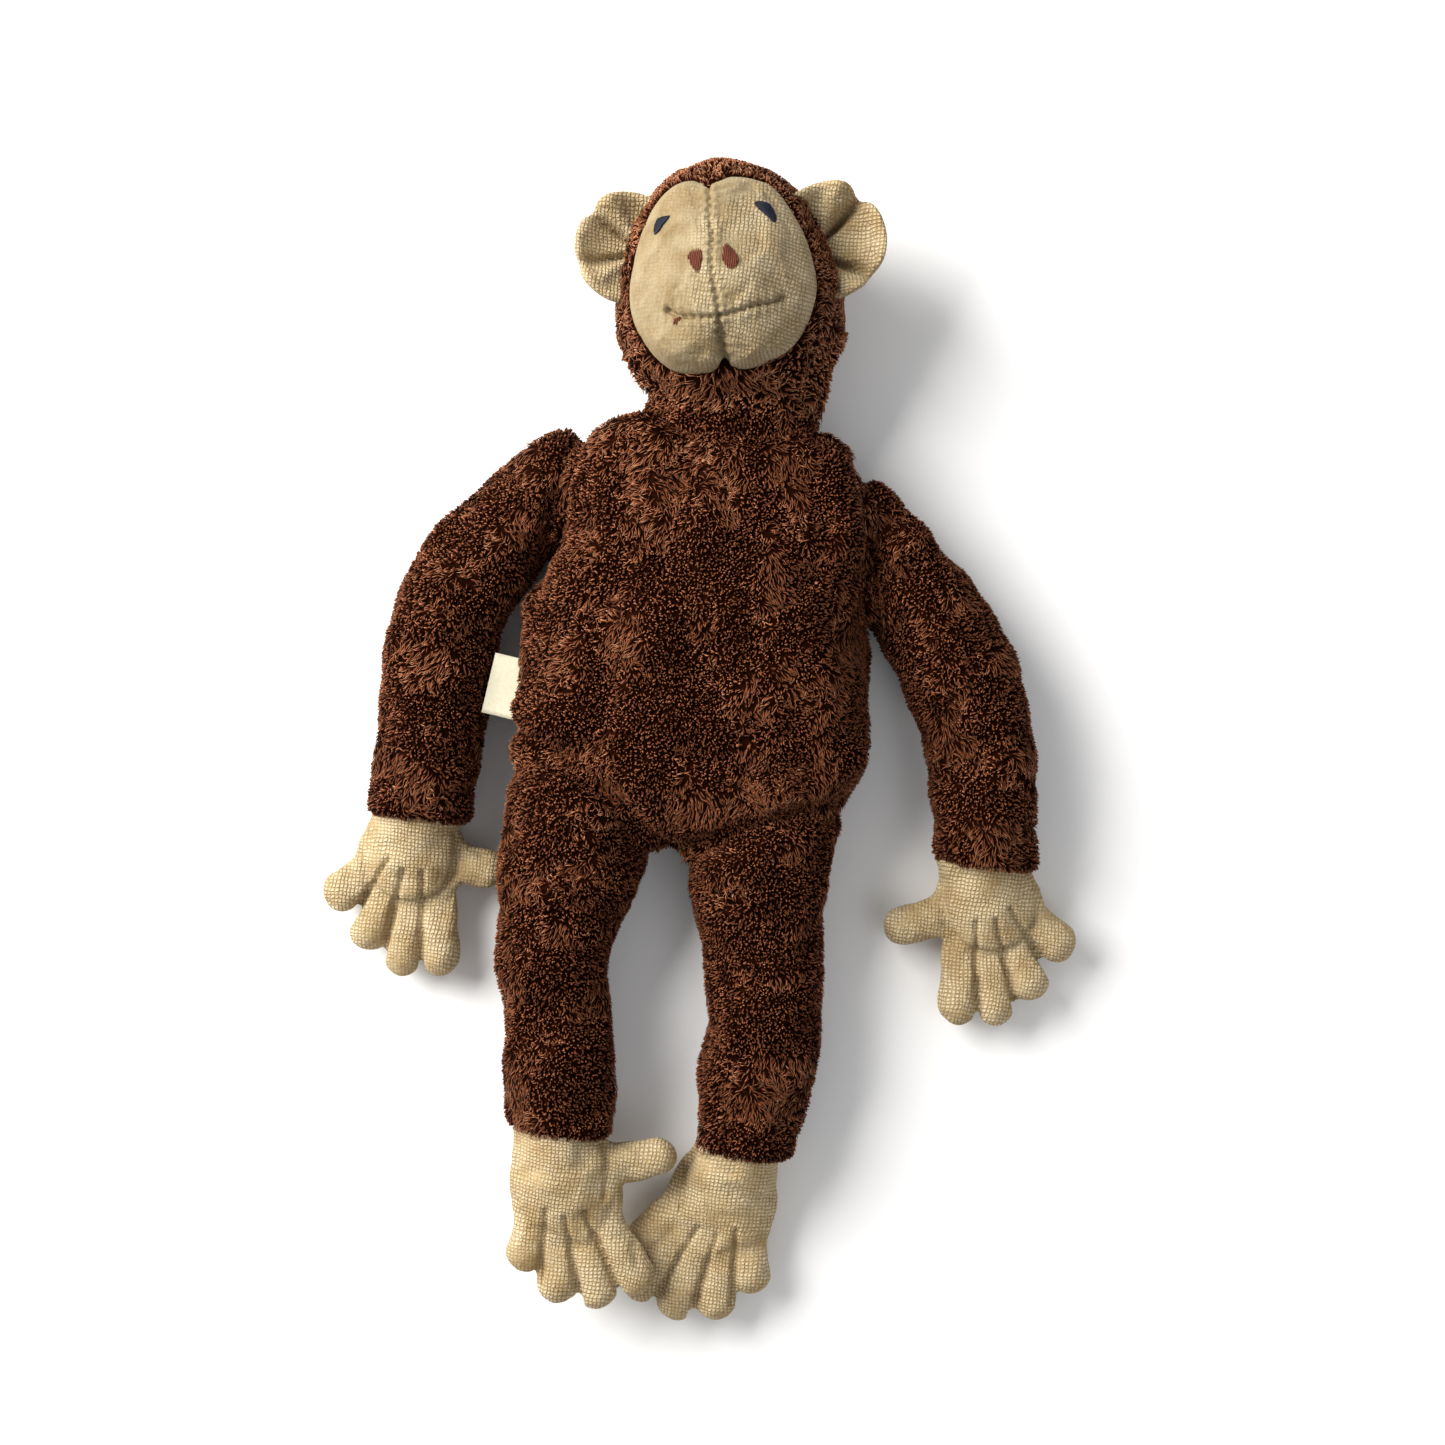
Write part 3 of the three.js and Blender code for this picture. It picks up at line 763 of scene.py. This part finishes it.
# ---------------------------------------------------------------- sewn pieces
def sewn(name, field, box, voxel, held, material, slot, reach=1.6, creases=None):
    """A stuffed skin: its form, the stuffing pressed out between its seams, its creases and its finish."""
    made = skin_from_field(name, field, *box, voxel)
    stuff(made, held(coordinates(made)), reach)
    subdivide(made)
    if creases is not None:
        press(made, creases)
    finish_piece(made, material, slot)
    return made


def box_around(knots, margin):
    knots = np.array(knots, float)[:, :3]
    return knots.min(0) - margin, knots.max(0) + margin


def slimmed(knots):
    """Limb rows with the depth of the pile taken off their radius."""
    return [(x, y, z, radius - PILE_DEPTH) for x, y, z, radius in knots]


def slimmed_rows(rows):
    return [(y, x, z, width - PILE_DEPTH, depth - PILE_DEPTH) for y, x, z, width, depth in rows]


def on_floor(points, field):
    """Flattened where it would sink into the floor."""
    return common(field, 0.9 - points[:, 2], 2)


def arm_field(points, side):
    return on_floor(points, tube(points, slimmed(ARMS[side])) - 0.9 * lumps(points, 24, 20))


def leg_field(points, side):
    return on_floor(points, tube(points, slimmed(LEGS[side])) - 1.0 * lumps(points, 26, 21))


def torso_field(points):
    field = loft(points, slimmed_rows(TORSO), 3) - 1.5 * lumps(points, 48, 22) - 0.7 * lumps(points, 19, 23)
    return on_floor(points, field)


def folds(points, lines, depth, width):
    return sum(groove(line_distance(points[:, :2], line), depth, width) for line in lines)


def hip_creases(points):
    return folds(points, HIP_CREASES, 6, 4.2) * np.clip((points[:, 2] - 12) / 20, 0, 1)


def arm_creases(points):
    return folds(points, ARM_CREASES, 3.5, 3) * np.clip((points[:, 2] - 12) / 14, 0, 1)


def torso_creases(points):
    belly = folds(points, BELLY_FOLDS, 2.9, 5) * (points[:, 2] > TORSO_SEAM)
    return hip_creases(points) + arm_creases(points) + belly


def side_seam(points, height, width=2.2):
    return near(points[:, 2] - height, width)


TORSO_MIDDLE = -9.3
TORSO_SEAM = 27  # height of the side seam


def build_torso():
    made = sewn(
        "torso_skin", torso_field, ((-80, -48, -1), (62, 118, 62)), 2.6,
        lambda points: side_seam(points, TORSO_SEAM), BACKING, "brown_pile", creases=torso_creases,
    )
    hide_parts("torso_front_panel", "torso_back_panel", "torso_stuffing")

    def nap(points):
        fan = (points[:, 0] - TORSO_MIDDLE) / 70
        return np.column_stack([fan, np.full(len(points), -0.9), np.zeros(len(points))])

    def exposed(points):
        covers = [arm_field(points, side) for side in ARMS] + [leg_field(points, side) for side in LEGS]
        return np.min(covers, axis=0) > -5

    wrap(made, "torso")
    for half, side in (("front", 1), ("back", -1)):
        def on_half(points):
            return exposed(points) & (side * (points[:, 2] - TORSO_SEAM) >= 0)

        pile = grow_pile(made, nap, 100, wanted=on_half)
        pile.name = f"torso_{half}_pile"
        wrap(pile, "torso")


def limb_piece(name, field, knots, cut, held_at, bodies, blend_at, nodes, nap, seed, own, creases=None):
    """One furry length of limb, which stands for nodes.

    cut is a place, a direction, and where along it the skin starts and ends. held_at(points) is where its
    seams hold it, own(points) where its fur grows, and blend_at two places that are handed on to wrap.
    """
    place, direction, first, last = cut

    def shaped(points):
        along = beyond(points, place, direction)
        return common(common(field(points), first - along, 1.5), along - last, 1.5)

    def held(points):
        along = beyond(points, place, direction)
        ends = np.maximum(near(along - first, 4), near(along - last, 4))
        return np.maximum(ends, 0.8 * held_at(points))

    box = box_around(knots, 28)
    made = sewn(name + "_skin", shaped, box, 2.2, held, BACKING, "brown_pile", creases=creases)
    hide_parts(*nodes)
    pile = grow_pile(made, nap, seed, wanted=own)
    start, end = blend_at
    for piece in (made, pile):
        wrap(piece, bodies, start, end)


BEND = 15  # half of the length over which an elbow or knee turns
SHOULDER_ROOT = 26  # how far a shoulder reaches back into the torso from its pivot
CUFF_FUR = 1.4  # how far past the cuff's line the fur is rooted
CUFF_GAP = 1.8  # how much slimmer a hand or foot is inside its sleeve
LAP = 5  # how far one limb skin runs under the next


def build_arm(side, seed):
    shoulder = PIVOTS[f"shoulder_{side}_raise"]
    elbow = PIVOTS[f"elbow_{side}_bend"]
    knots = ARMS[side]
    down = direction_between(knots[1][:3], knots[3][:3])
    bend_down = direction_between(shoulder, PIVOTS[f"wrist_{side}_curl"])

    def nap(points):
        return np.tile(bend_down, (len(points), 1))

    def seam(points):
        return side_seam(points, 21)

    def cap_field(points):
        ball = np.linalg.norm(points - shoulder, axis=1) - SHOULDER_BALL
        root = common(arm_field(points, side), beyond(points, shoulder, down), 3)
        return union(on_floor(points, ball), root, 3)

    limb_piece(
        f"shoulder_cap_{side}", cap_field, [shoulder], (shoulder, down, -SHOULDER_ROOT, SHOULDER_BALL), seam,
        ("torso", f"shoulder_{side}"), (shoulder - 16 * down, shoulder - 4 * down),
        [f"shoulder_cap_{side}"], nap, seed,
        lambda points: (torso_field(points) > -5) & (beyond(points, shoulder, down) < 4), arm_creases,
    )

    def upper_field(points):
        ball = np.linalg.norm(points - shoulder, axis=1) - SHOULDER_BALL - 0.2
        limb = common(arm_field(points, side), -beyond(points, shoulder, down), 2)
        return union(on_floor(points, ball), limb, 3)

    limb_piece(
        f"upper_arm_{side}", upper_field, [shoulder, elbow],
        (elbow, bend_down, -2 * SHOULDER_ROOT - BEND - 20, LAP - BEND), seam,
        (f"shoulder_{side}", f"upper_arm_{side}"), (shoulder - 6 * down, shoulder + 12 * down),
        [f"upper_arm_{side}_cover", f"upper_arm_{side}_stuffing"], nap, seed + 20,
        lambda points: (beyond(points, shoulder, down) > 0) & (beyond(points, elbow, bend_down) < -BEND)
        & (torso_field(points) > -5), arm_creases,
    )
    cuff = np.array([knots[-1][0], CUFFS[side], knots[-1][2]])

    def fore_field(points):
        return common(arm_field(points, side), beyond(points, cuff, DOWN) - 1, 1.5)

    limb_piece(
        f"forearm_{side}", fore_field, [elbow, cuff], (elbow, bend_down, -BEND - LAP, 200), seam,
        (f"upper_arm_{side}", f"forearm_{side}"), (elbow - BEND * bend_down, elbow + BEND * bend_down),
        [f"forearm_{side}_cover", f"forearm_{side}_stuffing"], nap, seed + 40,
        lambda points: (beyond(points, elbow, bend_down) > -BEND) & (beyond(points, cuff, DOWN) < CUFF_FUR),
    )


def build_leg(side, seed):
    hip = PIVOTS[f"hip_{side}_lift"]
    knee = PIVOTS[f"knee_{side}_bend"]
    ankle = PIVOTS[f"ankle_{side}_turn"]
    knots = LEGS[side]
    knee_down = direction_between(hip, ankle)

    def thigh_field(points):
        return leg_field(points, side)

    def nap(points):
        return np.tile(knee_down, (len(points), 1))

    def seam(points):
        return side_seam(points, 24)

    limb_piece(
        f"thigh_{side}", thigh_field, [(hip[0], 2, hip[2]), knee], (knee, knee_down, -120, LAP - BEND), seam,
        ("torso", f"thigh_{side}"), (hip - 18 * DOWN, hip + 22 * DOWN),
        [f"thigh_{side}_cover", f"thigh_{side}_stuffing"], nap, seed,
        lambda points: (torso_field(points) > -4) & (beyond(points, knee, knee_down) < -BEND),
        creases=hip_creases,
    )
    cuff = np.array([knots[-1][0], ANKLE_CUFFS[side], knots[-1][2]])

    def shin_field(points):
        return common(leg_field(points, side), beyond(points, cuff, DOWN) - 1, 1.5)

    limb_piece(
        f"shin_{side}", shin_field, [knee, cuff], (knee, knee_down, -BEND - LAP, 200), seam,
        (f"thigh_{side}", f"shin_{side}"), (knee - BEND * knee_down, knee + BEND * knee_down),
        [f"shin_{side}_cover", f"shin_{side}_stuffing"], nap, seed + 20,
        lambda points: (beyond(points, knee, knee_down) > -BEND) & (beyond(points, cuff, DOWN) < CUFF_FUR),
    )


# ---------------------------------------------------------------- hands and feet
def mitt_field(local, palm, digits, thumb, wrist, room):
    """A palm over fanned digits. wrist is its two ends and radii, room the space its sleeve leaves it."""
    fingers = [capsule(local, (*root, 0), (*tip, 0.5), DIGIT - 0.7, DIGIT + 0.5) for root, tip in digits]
    fingers.append(capsule(local, (8, -8, 0), (*thumb, 0.5), DIGIT + 0.4, DIGIT))
    pad = union(ellipsoid(local, *palm), common(capsule(local, *wrist), room, 1), 7)
    whole = union(union_all(fingers, 0.8), pad, 2)
    edge = groove(local[:, 2], 0.5, 0.9)
    return whole + edge - 0.35 * lumps(local, 13, 30)


def between_digits(digits, start=0.1):
    """The creases between neighbouring digits, each from a little way into the palm to the tips."""
    lines = []
    for (root, tip), (next_root, next_tip) in zip(digits, digits[1:]):
        inner = (np.array(root) + next_root) / 2
        outer = (np.array(tip) + next_tip) / 2
        lines.append([inner + start * (inner - outer), outer + 0.3 * (outer - inner)])
    return lines


def build_mitt(name, spec, palm, digits, wrist, padded_palm, sleeve, cuff, bodies, blend_at, nodes):
    """A hand or foot, which stands for nodes. padded_palm is how deep the crease round its pad is, and sleeve
    the field of the limb whose cuff lies at Y = cuff."""
    def to_local(points):
        local = turned(points - np.array(spec["at"]), -spec["turn"])
        local[:, 0] *= spec["mirror"]
        return local

    def tucked(points):
        room = sleeve(points) + CUFF_GAP - 1.6 * np.maximum(cuff - points[:, 1], 0)
        return mitt_field(to_local(points), palm, digits, spec["thumb"], wrist, room)

    def creases(points):
        local = to_local(points)
        lines = [line_distance(local[:, :2], line) for line in between_digits(digits)]
        depth = groove(np.min(lines, axis=0), 1.9, 1.0)
        thumb_root = line_distance(local[:, :2], [(14, -17), (17, -4), (15, 4)])
        pad = np.linalg.norm((local[:, :2] - palm[0][:2]) / np.array(palm[1][:2]), axis=1) - 0.86
        knuckles = near(pad * palm[1][0], 1.3) * (local[:, 2] > 0) * np.clip(-local[:, 1] / 12, 0, 1)
        return depth + groove(thumb_root, 1.4, 1.2) + padded_palm * knuckles

    reach = np.array([50.0, 62.0, 14.0])
    at = np.array(spec["at"], float)
    made = sewn(
        name, tucked, (at - reach, at + [50, 20, 26]), 1.5, lambda points: near(to_local(points)[:, 2], 1.4),
        LIMB_VELOUR, "beige_velour", 0.9, creases,
    )
    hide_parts(*nodes)
    wrap(made, bodies, *blend_at)


def build_hand(side):
    wrist = PIVOTS[f"wrist_{side}_curl"]
    build_mitt(
        f"hand_{side}_skin", HANDS[side], HAND_PALM, HAND_DIGITS, ((0, 17, 6.5), (0, -4, 2), 16.8, 13), 1.4,
        lambda points: arm_field(points, side), CUFFS[side],
        (f"forearm_{side}", f"hand_{side}"), (wrist - 6 * DOWN, wrist + 8 * DOWN),
        [f"palm_{side}", f"hand_back_{side}", f"hand_stuffing_{side}"],
    )


def build_foot(side):
    ankle = PIVOTS[f"ankle_{side}_turn"]
    lift = LEGS[side][-1][2] - FEET[side]["at"][2]
    build_mitt(
        f"foot_{side}_skin", FEET[side], FOOT_PALM, FOOT_DIGITS, ((0, 15, lift), (0, -6, 1), 16.8, 13.5), 0.2,
        lambda points: leg_field(points, side), ANKLE_CUFFS[side],
        (f"shin_{side}", f"foot_{side}"), (ankle - 7 * DOWN, ankle + 8 * DOWN),
        [f"sole_{side}", f"foot_top_{side}", f"foot_stuffing_{side}"],
    )


# ---------------------------------------------------------------- head
def skull_field(points):
    local = to_head(points)
    return union(ellipsoid(local, *SKULL), ellipsoid(local, *CHEEKS), 8)


def hood_field(points):
    """The furry hood and throat, open where the face sits."""
    local = to_head(points)
    solid = union(skull_field(points) + PILE_DEPTH, loft(points, slimmed_rows(THROAT), 2.1), 9)
    solid = on_floor(points, solid - 0.5 * lumps(points, 24, 40))
    opening = outline_distance(local[:, :2], FACE) + 2.2
    pit = np.maximum(opening, FACE_BASE - local[:, 2])
    throat_seam = groove(line_distance(local[:, :2], [(-4, -38), (2, -60)]), 1.2, 2.2) * (local[:, 2] > 40)
    return common(solid + throat_seam, -pit, 2.5)


def face_field(points):
    """The beige face: brow, muzzle and two chin lobes, creased at its middle seam and mouth."""
    local = to_head(points)
    flat = local[:, :2]
    brow = skull_field(points) - 0.6
    lobes = [ellipsoid(local, *lobe) for lobe in CHIN_LOBES]
    chin = union(lobes[0], lobes[1], 1.5)
    muzzle = union(ellipsoid(local, *MUZZLE), chin, 4)
    solid = union(brow, muzzle, 7)
    solid = common(solid, outline_distance(flat, FACE), 4.5)
    solid = common(solid, FACE_BASE - 6 - local[:, 2], 3)
    return solid - 0.4 * lumps(local, 17, 41)


def face_creases(points):
    local = to_head(points)
    flat = local[:, :2]
    wavy = flat + np.column_stack([0.45 * np.sin(local[:, 1] * 1.9), np.zeros(len(flat))])
    seam = line_distance(wavy, FACE_SEAM)
    below = np.clip((-19 - local[:, 1]) / 7, 0, 1)
    mouth = line_distance(flat + 0.15 * np.sin(flat[:, ::-1] * 2.1), MOUTH)
    depth = groove(seam, 0.9 + 2.6 * below, 0.7 + 1.4 * below) - groove(seam - 1.7, 0.55 + 0.5 * below, 1.1)
    depth += groove(mouth, 1.4, 0.8) - groove(mouth - 2.0, 0.5, 1.4)
    dimples = sum(groove(np.linalg.norm(flat - place, axis=1), 1.3, 2.6) for place in (MOUTH[0], MOUTH[-1]))
    puckers = 0.28 * np.sin(local[:, 1] * 2.4) * near(seam, 3.5)
    puckers += 0.25 * np.sin(local[:, 0] * 2.2) * near(mouth, 3.5)
    return depth + dimples + puckers


def build_hood():
    def held(points):
        local = to_head(points)
        rim = near(outline_distance(local[:, :2], FACE), 3) * (local[:, 2] > FACE_BASE - 4)
        return np.maximum(rim, near(points[:, 1] - 115, 4))

    made = sewn(
        "hood_skin", hood_field, ((-60, 110, -1), (32, 212, 76)), 2.0, held, BACKING, "brown_pile",
    )
    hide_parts("hood_r", "hood_l", "head_stuffing")

    def nap(points):
        local = to_head(points)
        outward = np.column_stack([local[:, 0] / 40, local[:, 1] / 40, -0.4 * np.ones(len(points))])
        throat = np.clip((-20 - local[:, 1]) / 20, 0, 1)[:, None]
        return turned(outward, HEAD_TILT) * (1 - throat) + DOWN * throat

    def exposed(points):
        local = to_head(points)
        in_pit = (outline_distance(local[:, :2], FACE) < -1.2) & (local[:, 2] > FACE_BASE - 8)
        return ~in_pit & (points[:, 1] > 117.5)

    def on_crown(points):
        return exposed(points) & (to_head(points)[:, 1] > -24)

    def on_throat(points):
        return exposed(points) & (to_head(points)[:, 1] <= -24)

    crown = grow_pile(made, nap, 300, length=1.9, lie=0.75, wanted=on_crown, paler_by=0.65)
    throat = grow_pile(made, nap, 320, spacing=1.25, length=3.6, lie=0.6, wanted=on_throat, paler_by=0.42)
    crown.name = "hood_crown_pile"
    throat.name = "hood_throat_pile"
    for piece in (made, crown, throat):
        wrap(piece, ("neck", "head"), (-8.5, 115, 29), (-8.5, 130, 29))

    neck = sewn(
        "neck_skin", lambda points: on_floor(points, loft(points, slimmed_rows(NECK), 2.1)),
        ((-45, 100, -1), (28, 124, 58)), 2.2, lambda points: np.ones(len(points)), BACKING, "brown_pile",
    )
    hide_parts("neck")
    fur = grow_pile(neck, nap, 340, wanted=lambda points: (torso_field(points) > -4) & (points[:, 1] < 118.5))
    for piece in (neck, fur):
        wrap(piece, ("torso", "neck"), (-8.5, 105, 29), (-8.5, 115, 29))


def build_face():
    def held(points):
        local = to_head(points)
        flat = local[:, :2]
        creases = np.minimum(line_distance(flat, FACE_SEAM), line_distance(flat, MOUTH))
        return np.maximum(near(creases, 1.5), near(outline_distance(flat, FACE), 2.5))

    made = sewn(
        "face_skin", face_field, ((-58, 124, 34), (24, 204, 92)), 1.1, held,
        FACE_VELOUR, "beige_velour", 0.8, face_creases,
    )
    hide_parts("face_panel_r", "face_panel_l")
    wrap(made, "head")
    return made


# ---------------------------------------------------------------- embroidery
def surface_of(made):
    corners, triangles, _ = triangles_of(made)
    return BVHTree.FromPolygons([Vector(c) for c in corners], triangles.tolist())


def resting_height(tree, x, y):
    hit = tree.ray_cast(Vector((x, y, 120)), Vector((0, 0, -1)))
    return hit[0].z


def thread_path(tree, points, lift):
    """Places along a stitch on the face, which arches by lift over the cloth."""
    world = from_head([(x, y, 0) for x, y in points])
    share = np.linspace(0, 1, len(world))
    rise = lift * np.sin(math.pi * share)
    heights = [resting_height(tree, x, y) for x, y, _ in world]
    world[:, 2] = np.array(heights) + rise
    return world


THREAD_SIDES = 6


def threads(name, paths, radius, material, slot):
    """Round threads along paths, as one mesh."""
    corners, faces = [], []
    for path in paths:
        first = len(corners)
        along = unit(np.gradient(path, axis=0))
        across = unit(np.cross(along, [0, 0, 1]))
        up = np.cross(across, along)
        taper = np.sqrt(np.clip(1 - np.linspace(-0.98, 0.98, len(path)) ** 6, 0.1, 1))
        for k in range(len(path)):
            for turn in range(THREAD_SIDES):
                angle = 2 * math.pi * turn / THREAD_SIDES
                out = math.cos(angle) * across[k] + math.sin(angle) * up[k]
                corners.append(path[k] + radius * taper[k] * out)
        for k in range(len(path) - 1):
            for turn in range(THREAD_SIDES):
                after = (turn + 1) % THREAD_SIDES
                low, high = first + k * THREAD_SIDES, first + (k + 1) * THREAD_SIDES
                faces.append([low + turn, low + after, high + after, high + turn])
        caps = range(THREAD_SIDES // 2 - 1)
        for base in (first, first + (len(path) - 1) * THREAD_SIDES):
            faces.extend([base + k, base + k + 1, base + 4 - k, base + 5 - k] for k in caps)
    made = new_mesh(name, corners, faces)
    finish_piece(made, material, slot)
    return made


def satin(outline, angle, pitch, draw):
    """Side-by-side stitches that fill an outline, each as a row of points."""
    outline = turned(np.column_stack([outline, np.zeros(len(outline))]), -angle)[:, :2]
    rows = []
    for y in np.arange(outline[:, 1].min() + pitch / 2, outline[:, 1].max(), pitch):
        crossings = []
        for (ax, ay), (bx, by) in zip(outline, np.roll(outline, -1, axis=0)):
            if (ay > y) != (by > y):
                crossings.append(ax + (y - ay) / (by - ay) * (bx - ax))
        if len(crossings) < 2 or max(crossings) - min(crossings) < 0.5:
            continue
        left, right = min(crossings) - draw.uniform(0, 0.3), max(crossings) + draw.uniform(0, 0.3)
        row = np.column_stack([np.linspace(left, right, 7), np.full(7, y), np.zeros(7)])
        rows.append(turned(row, angle)[:, :2])
    return rows


# what is filled with stitches: its outlines, how the stitches lie on each side (degrees), how far apart they
# are, how high they arch, the thread's radius, its material and its slot
FILLED = [
    ("eye", EYES, {"r": 40, "l": -40}, 0.42, 0.7, 0.36, NAVY, "eye_thread"),
    ("nostril", NOSTRILS, {"r": 90, "l": 90}, 0.6, 0.6, 0.34, RUST, "nose_thread"),
]


def build_embroidery(face):
    tree = surface_of(face)
    draw = np.random.default_rng(SEED)
    pieces = []
    for part, outlines, lie, pitch, arch, radius, material, slot in FILLED:
        for side, outline in outlines.items():
            rows = satin(spline(outline, 4, closed=True), lie[side], pitch, draw)
            paths = [thread_path(tree, row, arch) for row in rows]
            pieces.append(threads(f"{part}_{side}_thread", paths, radius, material, slot))
            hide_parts(f"{part}_{side}")
    paths = [thread_path(tree, np.linspace(start, end, 6), 0.5) for start, end in MOUTH_STITCHES]
    pieces.append(threads("mouth_stitch_thread", paths, 0.3, RUST, "nose_thread"))
    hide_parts("mouth_stitch")
    mouth = spline(MOUTH, 4)
    dashes = [mouth[k:k + 4] for k in range(0, len(mouth) - 3, 3)]
    paths = [thread_path(tree, dash, 0.25) for dash in dashes]
    pieces.append(threads("mouth_seam_thread", paths, 0.22, SEAM_THREAD, "beige_velour"))
    for piece in pieces:
        wrap(piece, "head")


# ---------------------------------------------------------------- ears
EAR_PLY = 2.3  # half of an ear's thickness


def ear_field(local, spec):
    """local: out from the root, along the root, up. A cupped pad with folds that run in to the root."""
    out, along, up = local[:, 0], local[:, 1], local[:, 2]
    reach, half = spec["reach"], spec["half"]
    spread = np.sqrt((out / reach) ** 2 + (along / half) ** 2)
    angle = np.degrees(np.arctan2(along, np.maximum(out + 5, 0.1)))
    sheet = spec["cup"] * (spread**2 - 0.55)
    edge = (spread - 1) * min(reach, half)
    for place, depth in spec["folds"]:
        sheet -= 1.2 * depth * near(angle - place, 6.5) * np.clip(1.2 - 0.6 * spread, 0, 1)
        beside = angle - place - math.copysign(20, place)
        sheet += 0.75 * depth * near(beside, 13) * np.clip(1.3 * spread, 0, 1)
        edge += 0.22 * depth * near(angle - place, 9)
    sheet += 0.5 * lumps(local, 11, 50)
    thickness = EAR_PLY + 1.1 * near(spread - 0.88, 0.17)
    return common(np.abs(up - sheet) * 0.75 - thickness, edge, 2.2)


def build_ear(side):
    spec = EARS[side]
    points_out = spec["points"] + HEAD_TILT
    root = from_head([(*spec["root"], EAR_HEIGHT)])[0]

    def to_local(points):
        local = turned(points - root, -points_out)
        if side == "r":
            local[:, 1] *= -1
        return local

    def rim(points):
        spread = np.linalg.norm(to_local(points)[:, :2] / [spec["reach"], spec["half"]], axis=1)
        return near(spread - 1, 0.12)

    reach = np.array([26.0, 26.0, 14.0])
    made = sewn(
        f"ear_{side}_skin", lambda points: ear_field(to_local(points), spec),
        (root - reach, root + reach), 0.9, rim, LIMB_VELOUR, "beige_velour", 0.5,
    )
    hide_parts(f"ear_front_{side}", f"ear_back_{side}")
    outward = turned(np.array([[1.0, 0.0, 0.0]]), points_out)[0]
    wrap(made, ("head", f"ear_{side}"), root - 2 * outward, root + 5 * outward)


# ---------------------------------------------------------------- side label
def strip(*corners):
    """Quads whose four corners run along four arrays."""
    return np.stack([corner.ravel() for corner in corners], axis=1)


def build_label():
    """A folded ribbon whose two ends are sewn into the side seam."""
    hem_x, middle_y, height = LABEL["edge"]
    half_gap, reach = LABEL["gap"] / 2 + LABEL["ply"], LABEL["reach"]
    turn = np.linspace(-math.pi / 2, math.pi / 2, 7)
    straight = np.linspace(LABEL["hem"], -reach + half_gap, 12)
    bottom = [(x, -half_gap) for x in straight]
    fold = [(-reach + half_gap - half_gap * math.cos(t), half_gap * math.sin(t)) for t in turn[1:-1]]
    top = [(x, half_gap) for x in straight[::-1]]
    profile = np.array(bottom + fold + top)
    slope = np.gradient(profile, axis=0)
    normal = np.column_stack([slope[:, 1], -slope[:, 0]])
    normal /= np.linalg.norm(normal, axis=1, keepdims=True)
    widths = np.linspace(-0.5, 0.5, 13) * LABEL["width"]
    rows = []
    for shift in (0.5, -0.5):
        line = profile + shift * LABEL["ply"] * normal
        for width in widths:
            wave = 0.5 * np.sin(width / 5 + 0.4) * np.clip(-line[:, 0] / reach, 0, 1)
            rows.append(np.column_stack([line[:, 0], np.full(len(line), width), line[:, 1] + wave]))
    rows = np.array(rows)
    index = np.arange(2 * len(widths) * len(profile)).reshape(2, len(widths), len(profile))
    under, over = index
    sides = [
        strip(under[:-1, :-1], under[1:, :-1], under[1:, 1:], under[:-1, 1:]),
        strip(over[:-1, :-1], over[:-1, 1:], over[1:, 1:], over[1:, :-1]),
        strip(under[:-1, 0], over[:-1, 0], over[1:, 0], under[1:, 0]),
        strip(under[1:, -1], over[1:, -1], over[:-1, -1], under[:-1, -1]),
        strip(under[0, :-1], under[0, 1:], over[0, 1:], over[0, :-1]),
        strip(over[-1, :-1], over[-1, 1:], under[-1, 1:], under[-1, :-1]),
    ]
    faces = np.vstack(sides)
    corners = turned(rows.reshape(-1, 3), LABEL["tilt"]) + [hem_x, middle_y, height]
    made = new_mesh("side_label_ribbon", corners, faces)
    finish_piece(made, RIBBON, "label")
    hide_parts("side_label")
    wrap(made, "torso")


# ---------------------------------------------------------------- camera, light and floor
def area_light(name, place, energy, size, colour):
    """A square light that faces the toy, in metres and watts."""
    light = bpy.data.lights.new(name, "AREA")
    light.energy = energy
    light.size = size
    light.color = colour
    made = bpy.data.objects.new(name, light)
    bpy.context.scene.collection.objects.link(made)
    made.location = place
    made.rotation_euler = (-Vector(place)).to_track_quat("-Z", "Y").to_euler()


AMBIENT = 0.42  # strength of the even light all round
CAMERA_PLACE = (0.0012, 0.0076, 0.925)  # metres, straight above the toy
CAMERA_ROLL = math.radians(6.5)
CAMERA_ANGLE = math.radians(32.25)


def build_studio():
    bpy.ops.mesh.primitive_plane_add(size=6)
    floor = bpy.context.object
    floor.name = "floor"
    floor.data.materials.append(floor_material())

    world = bpy.data.worlds.new("studio")
    bpy.context.scene.world = world
    world.use_nodes = True
    background = world.node_tree.nodes["Background"]
    background.inputs["Color"].default_value = (1, 1, 1, 1)
    background.inputs["Strength"].default_value = AMBIENT
    area_light("key", place=(-0.9, 0.4, 0.74), energy=33, size=0.9, colour=(1, 0.98, 0.95))
    area_light("fill", place=(0.6, -0.4, 1.2), energy=2.5, size=0.9, colour=(0.95, 0.97, 1))

    camera_data = bpy.data.cameras.new("camera")
    camera_data.angle = CAMERA_ANGLE
    camera_data.clip_start = 0.01
    camera = bpy.data.objects.new("camera", camera_data)
    bpy.context.scene.collection.objects.link(camera)
    camera.location = CAMERA_PLACE
    camera.rotation_euler = (0, 0, CAMERA_ROLL)
    bpy.context.scene.camera = camera
    bpy.context.scene.view_settings.view_transform = "Standard"


FACE = spline(FACE_OUTLINE, 4, closed=True)

build_torso()
for number, side in enumerate(SIDES):
    build_arm(side, 400 + 100 * number)
    build_leg(side, 600 + 100 * number)
    build_hand(side)
    build_foot(side)
    build_ear(side)
build_hood()
build_embroidery(build_face())
build_label()
build_studio()
